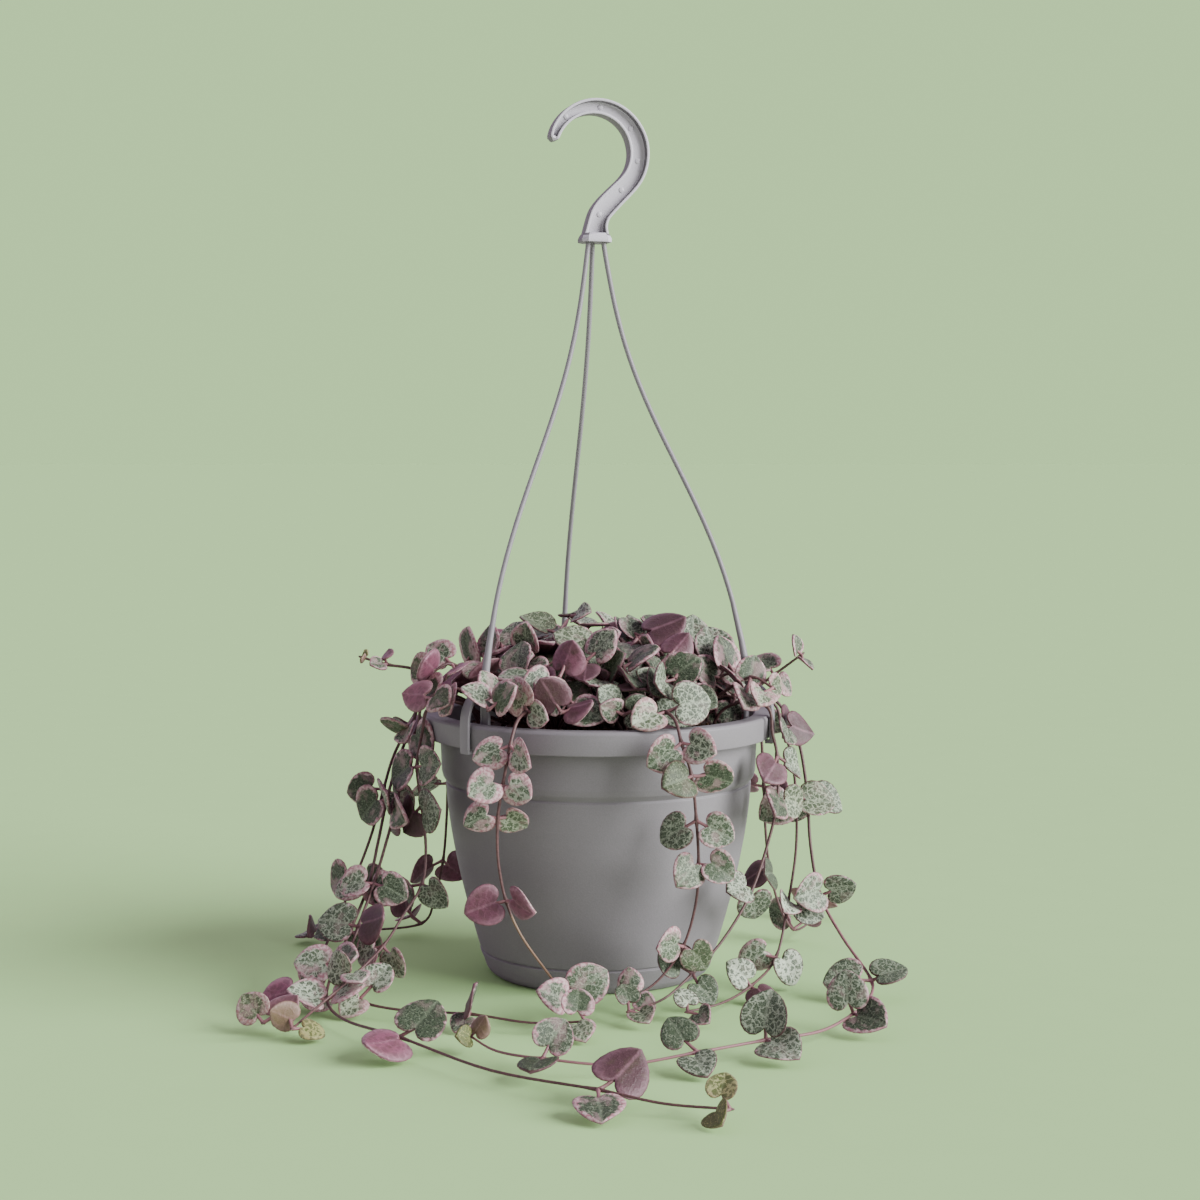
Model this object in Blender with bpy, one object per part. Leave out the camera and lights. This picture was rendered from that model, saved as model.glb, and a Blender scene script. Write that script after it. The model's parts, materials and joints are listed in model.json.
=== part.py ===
"""A string of hearts (a trailing succulent vine) in a grey plastic hanging pot.

Lengths are millimetres until solid() writes a mesh, which is in metres.
The origin is the centre of the pot's underside, +Z is up and -Y is the front.
An azimuth is measured from the front, positive towards +X.
"""

import math
import random

import bmesh
import bpy
from mathutils import Matrix, Vector
from mathutils.bvhtree import BVHTree

MM = 0.001
GAP = 0.3  # between pieces that touch

# Pot: a turned bowl with a shoulder and a rim whose skirt hangs clear of the wall
POT_SIDES = 32
RIM_RADIUS = 75.0
RIM_TOP = 113.0
SKIRT_BOTTOM = 103.2
SKIRT_WALL = 1.6
COLLAR_RADIUS = 68.7
SHOULDER_TOP = 87.5
SHOULDER_RADIUS = 66.0
SHOULDER_Z = 84.0
BASE_RADIUS = 47.8
BOWL_CURVE = 1.55
FOOT_LINE_Z = 11.0
FOOT_STEP = 0.5
WALL = 1.8
FLOOR_TOP = 3.6
DRAIN_HOLES = 6
DRAIN_RADIUS = 3.5
DRAIN_CIRCLE = 26.0

# Potting soil
SOIL_SIDES = 20
SOIL_EDGE_Z = 103.5
SOIL_CROWN = 3.0
STEM_HOLE_RADIUS = 1.6

# Hanger: a channelled hook whose collar holds three rods that clip over the rim
HANGER_X = -1.6
HOOK_TURN = math.radians(16.0)
HOOK_CENTRE_Z = 351.5
HOOK_RADIUS = 19.2
HOOK_TIP_ANGLE = 168.0
HOOK_LEAVE_ANGLE = -45.0
HOOK_DEPTH = 7.0
CHANNEL_DEPTH = 3.2
CHANNEL_WALL = 1.2
HOOK_NECK = ((9.0, -18.1, 4.4), (5.0, -22.2, 4.5), (2.0, -26.0, 4.4), (0.5, -30.5, 4.5), (0.0, -36.0, 5.6))
COLLAR_SIZE = (13.0, 12.0, 4.0)
COLLAR_CORNER = 2.2
COLLAR_BOTTOM = 313.4
SOCKET_CIRCLE = 4.0
SOCKET_DEPTH = 3.0
ROD_RADIUS = 1.05
SOCKET_RADIUS = ROD_RADIUS + GAP + 0.1
ROD_FOOT_RADIUS = 66.2
ROD_FOOT_Z = 126.4
ROD_BOW = 0.5
STRAP_WIDTH = 5.0
STRAP_THICKNESS = 1.5
STRAP_LINE = (
    (76.2, 101.4), (76.2, 108.0), (76.1, 115.0), (75.0, 119.6), (72.6, 123.6), (69.2, 126.2),
    (66.4, 126.4), (65.2, 123.6), (65.2, 115.0), (65.2, 106.5),
)
LIP_LINE = ((76.6, 102.1), (73.6, 102.1))
LIP_THICKNESS = 1.3
ARMS = {"arm_left": -45.5, "arm_right": 74.5, "arm_back": 194.5}

# A line that no leaf crosses, from the left clip towards the front
CLEAR_LINE = ((-57, -57, 117), (-55, -86, 120))
CLEAR_RADIUS = 8.0

# Plant
STEM_RADIUS = 0.85
STEM_SIDES = 3
STALK_WIDTH = 1.1
ROOT_SHARE = 0.45  # a stalk's width at its stem, as a share of its width at its blade
BLADE_THICKNESS = 1.9  # at its middle: a fleshy blade thins to its rim
SINUS = 0.13
BEND = 0.78  # cosine of the most that a midrib turns from its stalk
HALF_OUTLINE = ((-0.05, 0.25), (0.24, 0.54), (0.69, 0.42))
BLADE_CENTRE = 0.42
FAT = 1.06  # outline of the envelope that neighbours stay clear of
FAT_THICKNESS = 3.0
STALK_START = 0.45  # share of a stalk next to its stem that its envelope leaves out
SPAN_STEPS = 6  # points of a fine path in each span between route points
STEM_STEP = 19.0
KEPT_KNOTS = (0, 1, 3, 4)  # route points that a stem always bends at
TRIES = 160
SHRINK = 0.3  # how much smaller the last try is than the first
TURNED_OVER = 0.2  # share of the leaves that show their underside
TILT = 0.55
FLOOR_CLEARANCE = 0.6
FLOOR_ZONE = 14.0
CLUMPS = 8
CLUMP_SPRIGS = 4
MOUND_RADIUS = 72.0
MOUND_HEIGHT = 47.0
TUBER_RADIUS = 6.0

# How a vine leaves the soil and passes over the rim: (radius, z)
OVER_RIM = ((52, 98), (52, 108), (57, 116), (67, 119.5), (76.5, 117))

# Vines that the front shows, from the rim on.
# Each point is x, y, z and the length of its leaves, 0 for none.
VINES = {
    "vine_left_a": (
        (-80, -7, 108, 12), (-86, -12, 92, 0),
        (-90, -18, 77, 16), (-93, -27, 60, 0), (-96, -38, 44, 14), (-102, -52, 28, 14), (-107, -66, 16, 15),
        (-108, -81, 7, 14), (-98, -104, 5, 0), (-74, -135, 7, 17), (-38, -174, 6, 0), (0, -200, 7, 17),
        (22, -209, 5, 0), (44, -215, 5, 11),
    ),
    "vine_left_b": (
        (-77, -16, 106, 15), (-82, -20, 92, 0),
        (-85, -25, 77, 16), (-89, -33, 61, 0), (-93, -44, 46, 14), (-98, -57, 31, 15), (-102, -69, 16, 0),
        (-95, -81, 7, 14), (-76, -90, 5, 0), (-50, -99, 6, 13), (-26, -108, 5, 0), (-5, -110, 6, 12),
    ),
    "vine_left_c": (
        (-74, -28, 107, 0), (-76, -31, 93, 16),
        (-74, -33, 77, 18), (-72, -37, 60, 0), (-73, -44, 46, 14), (-80, -54, 35, 0), (-87, -66, 25, 14),
        (-98, -82, 16, 12), (-109, -99, 9, 0), (-116, -120, 6, 11),
    ),
    "vine_left_d": (
        (-82, 7, 107, 14), (-89, 3, 93, 0),
        (-93, -3, 79, 14), (-97, -12, 62, 0), (-102, -25, 47, 15), (-108, -40, 32, 0), (-114, -56, 18, 15),
        (-121, -74, 8, 14), (-126, -93, 5, 0), (-129, -108, 5, 13),
    ),
    "vine_front_left": (
        (-35, -75, 108, 15), (-38, -77, 92, 14),
        (-40, -76, 79, 13), (-40, -75, 62, 0), (-37, -73, 45, 15), (-31, -73, 31, 0), (-21, -78, 18, 0),
        (-10, -90, 7, 15),
    ),
    "vine_front_right": (
        (33, -75, 109, 14), (37, -77, 96, 15),
        (39, -76, 78, 15), (40, -74, 60, 13), (39, -71, 43, 0), (34, -71, 26, 13), (24, -74, 13, 0),
        (12, -80, 6, 9),
    ),
    "vine_right_a": (
        (82, 5, 110, 15), (87, 2, 99, 0),
        (90, -4, 79, 15), (91, -12, 56, 0), (94, -24, 37, 14), (102, -37, 22, 0), (112, -55, 8, 15),
        (107, -78, 5, 0), (99, -102, 7, 15), (84, -120, 5, 0), (62, -139, 7, 16), (36, -155, 7, 15),
        (8, -164, 5, 0), (-20, -163, 7, 14), (-37, -150, 6, 0), (-48, -130, 6, 8),
    ),
    "vine_right_b": (
        (78, -15, 108, 13), (82, -17, 96, 0),
        (84, -18, 79, 16), (84, -20, 56, 0), (80, -27, 34, 13), (74, -40, 14, 13), (62, -60, 7, 13),
        (49, -79, 5, 0), (35, -92, 5, 10),
    ),
    "vine_right_c": (
        (73, -28, 107, 0), (75, -29, 97, 14),
        (75, -31, 79, 15), (71, -35, 62, 0), (63, -44, 42, 14), (51, -55, 25, 0), (38, -67, 14, 13),
        (26, -80, 7, 0), (12, -95, 6, 10),
    ),
}

# Vines behind the pot, hidden from the front: azimuth, and how far each lies along the surface
BACK_VINES = {"vine_back_a": (116.0, 44.0), "vine_back_b": (163.0, 26.0), "vine_back_c": (236.0, 38.0)}
BACK_SIDE_LINE = (
    (80.5, 107, 14), (82, 92, 0), (83, 74, 15),
    (84, 55, 0), (86, 38, 14), (91, 20, 0), (99, 7, 13),
)

# Shoots that stand out of the mound: route points as above
SHOOTS = {
    "left": ((-60, -12, 118, 0), (-76, -13, 131, 9), (-90, -12, 134, 8), (-101, -11, 137, 4)),
    "right": ((62, 2, 118, 0), (76, 3, 128, 11), (88, 2, 137, 9)),
    "top": ((4, 16, 128, 0), (-6, 13, 146, 12), (-12, 10, 153, 10)),
    "crest": ((18, 12, 126, 0), (22, 10, 146, 13), (25, 8, 152, 11)),
    "front_left": ((-32, -42, 120, 0), (-38, -54, 124, 15), (-44, -66, 121, 14)),
    "front_middle": ((-12, -44, 120, 0), (-12, -56, 124, 15), (-15, -66, 120, 14)),
    "front_right": ((10, -46, 119, 0), (9, -56, 123, 13), (10, -65, 119, 11)),
    "left_low": ((-50, -22, 120, 0), (-62, -36, 127, 14), (-70, -43, 123, 13)),
    "left_high": ((-48, -6, 124, 0), (-62, -20, 135, 14), (-71, -25, 131, 13)),
    "right_low": ((52, -18, 122, 0), (64, -26, 130, 14), (73, -30, 126, 12)),
}
# Length of the pair of leaves that a vine has where it tops the rim
RIM_LEAVES = {"vine_front_left": 14, "vine_front_right": 16}

COLOURS = {  # red, green, blue, roughness
    "pot_plastic": (0.30, 0.30, 0.31, 0.6),
    "hanger_plastic": (0.42, 0.43, 0.45, 0.5),
    "soil": (0.05, 0.032, 0.022, 0.95),
    "foliage": (0.30, 0.34, 0.27, 0.5),
}


def material(name):
    """The Principled material of that name, made once."""
    found = bpy.data.materials.get(name)
    if found:
        return found
    made = bpy.data.materials.new(name)
    made.use_nodes = True
    red, green, blue, roughness = COLOURS[name]
    shader = made.node_tree.nodes["Principled BSDF"]
    shader.inputs["Base Color"].default_value = (red, green, blue, 1.0)
    shader.inputs["Roughness"].default_value = roughness
    shader.inputs["Metallic"].default_value = 0.0
    return made


def raw_object(name, shape):
    """An object, in millimetres, from a shape: its points and its faces."""
    points, faces = shape
    mesh = bpy.data.meshes.new(name)
    mesh.from_pydata([tuple(p) for p in points], [], [tuple(f) for f in faces])
    edit = bmesh.new()
    edit.from_mesh(mesh)
    bmesh.ops.recalc_face_normals(edit, faces=edit.faces)
    if edit.calc_volume(signed=True) < 0:
        bmesh.ops.reverse_faces(edit, faces=edit.faces)
    edit.to_mesh(mesh)
    edit.free()
    made = bpy.data.objects.new(name, mesh)
    bpy.context.scene.collection.objects.link(made)
    return made


def apply_boolean(target, shapes, operation, solver):
    """Joins the shapes to the target object, or cuts them from it, with one Boolean on a collection."""
    tools = bpy.data.collections.new("tools")
    bpy.context.scene.collection.children.link(tools)
    for shape in shapes:
        tool = raw_object("tool", shape)
        bpy.context.scene.collection.objects.unlink(tool)
        tools.objects.link(tool)
    boolean = target.modifiers.new("Boolean", "BOOLEAN")
    boolean.operation = operation
    boolean.operand_type = "COLLECTION"
    boolean.collection = tools
    boolean.solver = solver
    bpy.context.view_layer.update()
    graph = bpy.context.evaluated_depsgraph_get()
    result = bpy.data.meshes.new_from_object(target.evaluated_get(graph))
    target.modifiers.clear()
    target.data = result
    for tool in list(tools.objects):
        bpy.data.objects.remove(tool)
    bpy.data.collections.remove(tools)
    return target


def solid(name, shapes, material_name, cuts=()):
    """One finished node: the shapes joined, the cuts taken away, in metres, with its material."""
    made = raw_object(name, shapes[0])
    if len(shapes) > 1:
        apply_boolean(made, shapes[1:], "UNION", "MANIFOLD")
    if cuts:
        apply_boolean(made, cuts, "DIFFERENCE", "MANIFOLD")
    made.data.transform(Matrix.Scale(MM, 4))
    made.data.materials.clear()
    made.data.materials.append(material(material_name))
    made.data.shade_smooth()
    made.data.set_sharp_from_angle(angle=math.radians(35))
    made.name = name
    return made


def sweep(rings):
    """A closed shape through rings of points, each with the same number of points."""
    sides = len(rings[0])
    points = [p for ring in rings for p in ring]
    faces = [tuple(range(sides)), tuple(reversed(range((len(rings) - 1) * sides, len(rings) * sides)))]
    for r in range(len(rings) - 1):
        for s in range(sides):
            a, b = r * sides + s, r * sides + (s + 1) % sides
            faces.append((a, b, b + sides, a + sides))
    return points, faces


def turned(profile, sides):
    """A shape turned about Z from a closed profile of (radius, z) that starts and ends on the axis."""
    points = [Vector((0, 0, profile[0][1])), Vector((0, 0, profile[-1][1]))]
    rings = profile[1:-1]
    for radius, z in rings:
        for s in range(sides):
            turn = 2 * math.pi * s / sides
            points.append(Vector((radius * math.sin(turn), -radius * math.cos(turn), z)))
    faces = []
    for s in range(sides):
        t = (s + 1) % sides
        faces.append((0, 2 + s, 2 + t))
        last = 2 + (len(rings) - 1) * sides
        faces.append((1, last + t, last + s))
        for r in range(len(rings) - 1):
            a = 2 + r * sides
            faces.append((a + s, a + sides + s, a + sides + t, a + t))
    return points, faces


def direction(path, i):
    """Unit direction of a path at one of its points."""
    return (path[min(i + 1, len(path) - 1)] - path[max(i - 1, 0)]).normalized()


def tube(path, radius, sides):
    """A round bar along a path, its rings turned as little as possible from one to the next."""
    across = direction(path, 0).orthogonal().normalized()
    rings = []
    for i, point in enumerate(path):
        along = direction(path, i)
        across = (across - along * across.dot(along)).normalized()
        other = along.cross(across)
        turns = [2 * math.pi * s / sides for s in range(sides)]
        rings.append([point + radius * (math.cos(a) * across + math.sin(a) * other) for a in turns])
    return sweep(rings)


def prism(x, y, bottom, top, radius, sides):
    """An upright round bar."""
    return tube([Vector((x, y, bottom)), Vector((x, y, top))], radius, sides)


def around(azimuth, radius, z):
    """The point at an azimuth in degrees, a radius and a height."""
    turn = math.radians(azimuth)
    return Vector((radius * math.sin(turn), -radius * math.cos(turn), z))


def bowl_radius(z):
    """Outer radius of the pot below its shoulder."""
    return SHOULDER_RADIUS - (SHOULDER_RADIUS - BASE_RADIUS) * (1 - z / SHOULDER_Z) ** BOWL_CURVE


def inner_radius(z):
    """Radius of the pot's inner wall."""
    if z >= SHOULDER_TOP:
        return COLLAR_RADIUS - WALL
    return bowl_radius(min(z, SHOULDER_Z)) - WALL


def pot_profile():
    """The pot's profile: underside, outside, rim, inside."""
    underside = [(0, 0), (45.4, 0), (47.4, 1.2)]
    foot = [(bowl_radius(5), 5.0), (bowl_radius(FOOT_LINE_Z) + FOOT_STEP, FOOT_LINE_Z - 0.2)]
    bowl = [(bowl_radius(z), z) for z in (FOOT_LINE_Z + 0.2, 26, 45, 64, SHOULDER_Z)]
    rim = [
        (COLLAR_RADIUS - 1.0, SHOULDER_TOP), (COLLAR_RADIUS, RIM_TOP - 2.6),
        (RIM_RADIUS - SKIRT_WALL, RIM_TOP - 2.6), (RIM_RADIUS - SKIRT_WALL - 0.2, SKIRT_BOTTOM),
        (RIM_RADIUS - 0.3, SKIRT_BOTTOM), (RIM_RADIUS, RIM_TOP - 1.4), (RIM_RADIUS - 1.0, RIM_TOP),
        (COLLAR_RADIUS - WALL + 0.8, RIM_TOP), (COLLAR_RADIUS - WALL, RIM_TOP - 1.0),
    ]
    inside = [(inner_radius(z), z) for z in (SHOULDER_TOP, SHOULDER_Z, 60, 34, 12)]
    bottom = [(inner_radius(FLOOR_TOP) - 2.5, FLOOR_TOP), (0, FLOOR_TOP)]
    return underside + foot + bowl + rim + inside + bottom


def drain_holes():
    """Cutters for the holes in the pot's floor."""
    cutters = []
    for n in range(DRAIN_HOLES):
        place = around(360 / DRAIN_HOLES * n, DRAIN_CIRCLE, 0)
        cutters.append(prism(place.x, place.y, -1.0, FLOOR_TOP + 1.0, DRAIN_RADIUS, 8))
    return cutters


def make_pot():
    return solid("pot", [turned(pot_profile(), POT_SIDES)], "pot_plastic", drain_holes())


def soil_top(radius):
    """Height of the soil at a distance from the pot's axis."""
    return SOIL_EDGE_Z + SOIL_CROWN * (1 - (radius / COLLAR_RADIUS) ** 2)


def soil_shape():
    """The soil: the pot's inside, with a gently crowned and crumbled top."""
    inside = [(inner_radius(z) - GAP - 0.6, z) for z in (14, 48, SHOULDER_Z, SHOULDER_TOP, SOIL_EDGE_Z)]
    top = [(r, soil_top(r)) for r in (56, 38, 18)]
    bottom = [(0, FLOOR_TOP + GAP), (inner_radius(FLOOR_TOP) - 4.0, FLOOR_TOP + GAP)]
    points, faces = turned(bottom + inside + top + [(0, soil_top(0))], SOIL_SIDES)
    crumble = random.Random("crumble")
    for p in points:
        if p.z > SOIL_EDGE_Z + 0.1:
            p.z += crumble.uniform(-0.7, 0.7)
    return points, faces


def make_soil(roots):
    """The soil, with a plain hole for each stem and each tuber: roots holds (point, radius)."""
    holes = [prism(p.x, p.y, p.z, SOIL_EDGE_Z + 12, radius, 6) for p, radius in roots]
    return solid("potting_soil", [soil_shape()], "soil", holes)


def hook_stations():
    """The hook's centreline in its own plane, as (x, z, half width), from its tip to its collar."""
    stations = []
    steps = 14
    for n in range(steps + 1):
        share = n / steps
        angle = math.radians(HOOK_TIP_ANGLE + (HOOK_LEAVE_ANGLE - HOOK_TIP_ANGLE) * share)
        half = 1.9 + 2.4 * min(1.0, share * 1.4) ** 0.8
        stations.append((HOOK_RADIUS * math.cos(angle), HOOK_RADIUS * math.sin(angle), half))
    return stations + list(HOOK_NECK)


def hook_bar(inset, front, back, stations):
    """A rectangular bar along the hook's centreline, inset from its edges."""
    line = [Vector((x, 0, z)) for x, z, _ in stations]
    rings = []
    for i, (x, z, half) in enumerate(stations):
        along = direction(line, i)
        side = Vector((along.z, 0, -along.x)) * (half - inset)
        rings.append([line[i] + side + Vector((0, front, 0)), line[i] + side + Vector((0, back, 0)),
                      line[i] - side + Vector((0, back, 0)), line[i] - side + Vector((0, front, 0))])
    return sweep(rings)


def hook_to_world(shape, height):
    """Turns a shape from the hook's own plane to its place above the pot."""
    points, faces = shape
    place = Matrix.Translation((HANGER_X, 0, height)) @ Matrix.Rotation(HOOK_TURN, 4, "Z")
    return [place @ p for p in points], faces


def block(size, bottom):
    """An upright box centred on the axis, its corners cut."""
    half_x, half_y = size[0] / 2, size[1] / 2
    cut = COLLAR_CORNER
    outline = [
        (half_x, half_y - cut), (half_x - cut, half_y), (cut - half_x, half_y), (-half_x, half_y - cut),
        (-half_x, cut - half_y), (cut - half_x, -half_y), (half_x - cut, -half_y), (half_x, cut - half_y),
    ]
    return sweep([[Vector((x, y, z)) for x, y in outline] for z in (bottom, bottom + size[2])])


def make_hook():
    """The hook with its channel, and the collar with a socket for each rod."""
    stations = hook_stations()
    half = HOOK_DEPTH / 2
    bar = hook_to_world(hook_bar(0, -half, half, stations), HOOK_CENTRE_Z)
    channel_line = stations[1:-1]
    channel = hook_bar(CHANNEL_WALL, -half - 2, -half + CHANNEL_DEPTH, channel_line)
    collar = hook_to_world(block(COLLAR_SIZE, COLLAR_BOTTOM), 0)
    bottom, top = COLLAR_BOTTOM - 2, COLLAR_BOTTOM + SOCKET_DEPTH
    places = [around(azimuth, SOCKET_CIRCLE, 0) for azimuth in ARMS.values()]
    sockets = [prism(p.x + HANGER_X, p.y, bottom, top, SOCKET_RADIUS, 8) for p in places]
    cuts = [hook_to_world(channel, HOOK_CENTRE_Z)] + sockets
    return solid("hook", [bar, collar], "hanger_plastic", cuts)


def rod_path(azimuth):
    """The rod's centreline: out of its socket, bowed outwards, to the top of its clip."""
    steps = 9
    top = around(azimuth, SOCKET_CIRCLE, COLLAR_BOTTOM + SOCKET_DEPTH - GAP) + Vector((HANGER_X, 0, 0))
    start = Vector((top.x, top.y, COLLAR_BOTTOM - 1))
    foot = around(azimuth, ROD_FOOT_RADIUS, ROD_FOOT_Z)
    path = [top]
    for n in range(steps + 1):
        share = n / steps
        spread = share - ROD_BOW * math.sin(2 * math.pi * share) / (2 * math.pi)
        point = start.lerp(foot, spread)
        point.z = start.z + (foot.z - start.z) * share
        path.append(point)
    return path


def strap(azimuth, line, width, thickness):
    """A flat strap whose centreline lies in the upright plane at an azimuth."""
    across = around(azimuth + 90, width / 2, 0)
    path = [Vector((r, 0, z)) for r, z in line]
    rings = []
    for i, point in enumerate(path):
        along = direction(path, i)
        side = Vector((-along.z, 0, along.x)) * thickness / 2
        outer, inner = point + side, point - side
        outside, inside = around(azimuth, outer.x, outer.z), around(azimuth, inner.x, inner.z)
        rings.append([outside - across, outside + across, inside + across, inside - across])
    return sweep(rings)


def arm_shapes(azimuth):
    """A rod, the strap that it ends in, and the lip that catches under the rim's skirt."""
    rod = tube(rod_path(azimuth), ROD_RADIUS, 6)
    clip = strap(azimuth, STRAP_LINE, STRAP_WIDTH, STRAP_THICKNESS)
    lip = strap(azimuth, LIP_LINE, STRAP_WIDTH - 0.6, LIP_THICKNESS)
    return [rod, clip, lip]


def fine_path(route):
    """A smooth curve through the route's points, SPAN_STEPS points to each span."""
    knots = [Vector(p[:3]) for p in route]
    ends = [2 * knots[0] - knots[1]] + knots + [2 * knots[-1] - knots[-2]]
    path = []
    for i in range(len(knots) - 1):
        a, b, c, d = ends[i : i + 4]
        for n in range(SPAN_STEPS):
            t = n / SPAN_STEPS
            path.append(0.5 * (2 * b + (c - a) * t + (2 * a - 5 * b + 4 * c - d) * t**2
                               + (3 * b - a - 3 * c + d) * t**3))
    return path + [knots[-1]]


def stem_marks(path):
    """Indices of the path's points that a stem bends at: about a step apart, with both ends."""
    marks = [knot * SPAN_STEPS for knot in KEPT_KNOTS if knot * SPAN_STEPS < len(path) - 1]
    for n, point in enumerate(path[:-1]):
        far_enough = (point - path[marks[-1]]).length >= STEM_STEP
        if n > marks[-1] and far_enough and (point - path[-1]).length >= STEM_STEP * 0.5:
            marks.append(n)
    return marks + [len(path) - 1]


def node_on_stem(path, marks, index):
    """The point of the stem's straight stretches that stands for a point of its path."""
    start = max(m for m in marks[:-1] if m <= index)
    end = min(m for m in marks if m > start)
    share = min(0.85, max(0.15, (index - start) / (end - start)))
    return path[start].lerp(path[end], share)


def over_rim(name, route):
    """A vine's whole route: out of the soil and over the rim to the first point of its own route."""
    azimuth = math.degrees(math.atan2(route[0][0], -route[0][1]))
    start = [(*around(azimuth, radius, z), 0) for radius, z in OVER_RIM]
    start[3] = (*start[3][:3], RIM_LEAVES.get(name, 0))
    return start + list(route)


def back_route(azimuth, reach):
    """The route of a vine behind the pot: down its side, then round along the surface."""
    route = []
    for radius, z, leaf in BACK_SIDE_LINE:
        place = around(azimuth, radius, z)
        route.append((place.x, place.y, place.z, leaf))
    for n in (1, 2):
        place = around(azimuth + 9 * n, 99 + reach * n / 2, 5)
        route.append((place.x, place.y, 5, (0, 11)[n - 1]))
    return route


def blade_rim(leaf, grow):
    """The blade's outline, cupped across and curled at its tip."""
    flat = list(HALF_OUTLINE) + [(1.0, 0.0)] + [(u, -v) for u, v in reversed(HALF_OUTLINE)]
    rim = []
    for u, v in flat:
        u, v = BLADE_CENTRE + (u - BLADE_CENTRE) * grow, v * grow
        rise = leaf["cup"] * v * v - leaf["curl"] * max(0.0, u - BLADE_CENTRE) ** 2
        offset = leaf["along"] * u + leaf["side"] * v + leaf["face"] * rise
        rim.append(leaf["origin"] + leaf["size"] * offset)
    return rim


def blade(leaf, grow=1.0, thickness=BLADE_THICKNESS, start=0.0):
    """A fleshy heart-shaped blade with its stalk: two fans that share a rim, and a three-sided bar."""
    rim = blade_rim(leaf, grow)
    notch = leaf["origin"] + leaf["along"] * leaf["size"] * SINUS
    middle = leaf["origin"] + leaf["along"] * leaf["size"] * BLADE_CENTRE
    width = STALK_WIDTH / 2 + (grow - 1) * 4
    lift, across = leaf["face"] * thickness / 2, leaf["side"] * width
    ring = [notch - across, notch + across, notch - leaf["face"] * width * 1.6]
    foot = notch + (leaf["stem"] - notch) * (1 - start)
    root = [foot + (point - notch) * ROOT_SHARE for point in ring]
    points = rim + [middle + lift, middle - lift] + ring + root
    count = len(rim)
    up, down, left, right, below = range(count, count + 5)
    faces = [(up, left, right), (down, right, below), (down, below, left)]
    chain = [right] + list(range(count)) + [left]
    for a, b in zip(chain, chain[1:]):
        faces += [(up, a, b), (down, b, a)]
    for a, b in ((left, right), (right, below), (below, left)):
        faces += [(b, a, a + 3), (b, a + 3, b + 3)]
    faces.append((left + 3, below + 3, right + 3))
    return points, faces


def tree_of(shape):
    points, faces = shape
    middle = sum(points, Vector()) / len(points)
    reach = max((p - middle).length for p in points)
    return {"tree": BVHTree.FromPolygons(points, faces), "middle": middle, "reach": reach}


def crosses(one, other):
    near = (one["middle"] - other["middle"]).length < one["reach"] + other["reach"]
    return near and bool(one["tree"].overlap(other["tree"]))


def leaf_draw(seed, node, along, side, wanted, down, size):
    """One draw of a leaf at a node of a stem: the way its stalk, midrib and face point."""
    draw = random.Random(seed)
    turn = Matrix.Rotation(math.radians(draw.uniform(-55, 55)), 3, along)
    out = (turn @ side).normalized()
    stalk = (out + wanted * 0.35).normalized()
    notch = node + stalk * size * draw.uniform(0.25, 0.42)
    drop = down * draw.uniform(0.1, 1.0)
    midrib = (out * draw.uniform(0.5, 1.1) + drop + along * draw.uniform(-0.4, 0.4)).normalized()
    if midrib.dot(stalk) < BEND:
        bent = (midrib - stalk * midrib.dot(stalk)).normalized()
        midrib = stalk * BEND + bent * math.sqrt(1 - BEND * BEND)
    tilt = Vector((draw.uniform(-1, 1), draw.uniform(-1, 1), draw.uniform(-1, 1))) * TILT
    face = wanted + tilt
    face = (face - midrib * face.dot(midrib)).normalized()
    if draw.random() < TURNED_OVER:
        face = -face
    grown = size * draw.uniform(0.88, 1.1)
    cup, curl = draw.uniform(-0.1, 0.5), draw.uniform(0.0, 0.35)
    return {
        "stem": node, "origin": notch - midrib * grown * SINUS, "along": midrib, "face": face,
        "side": face.cross(midrib), "size": grown, "cup": cup, "curl": curl,
    }


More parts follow.
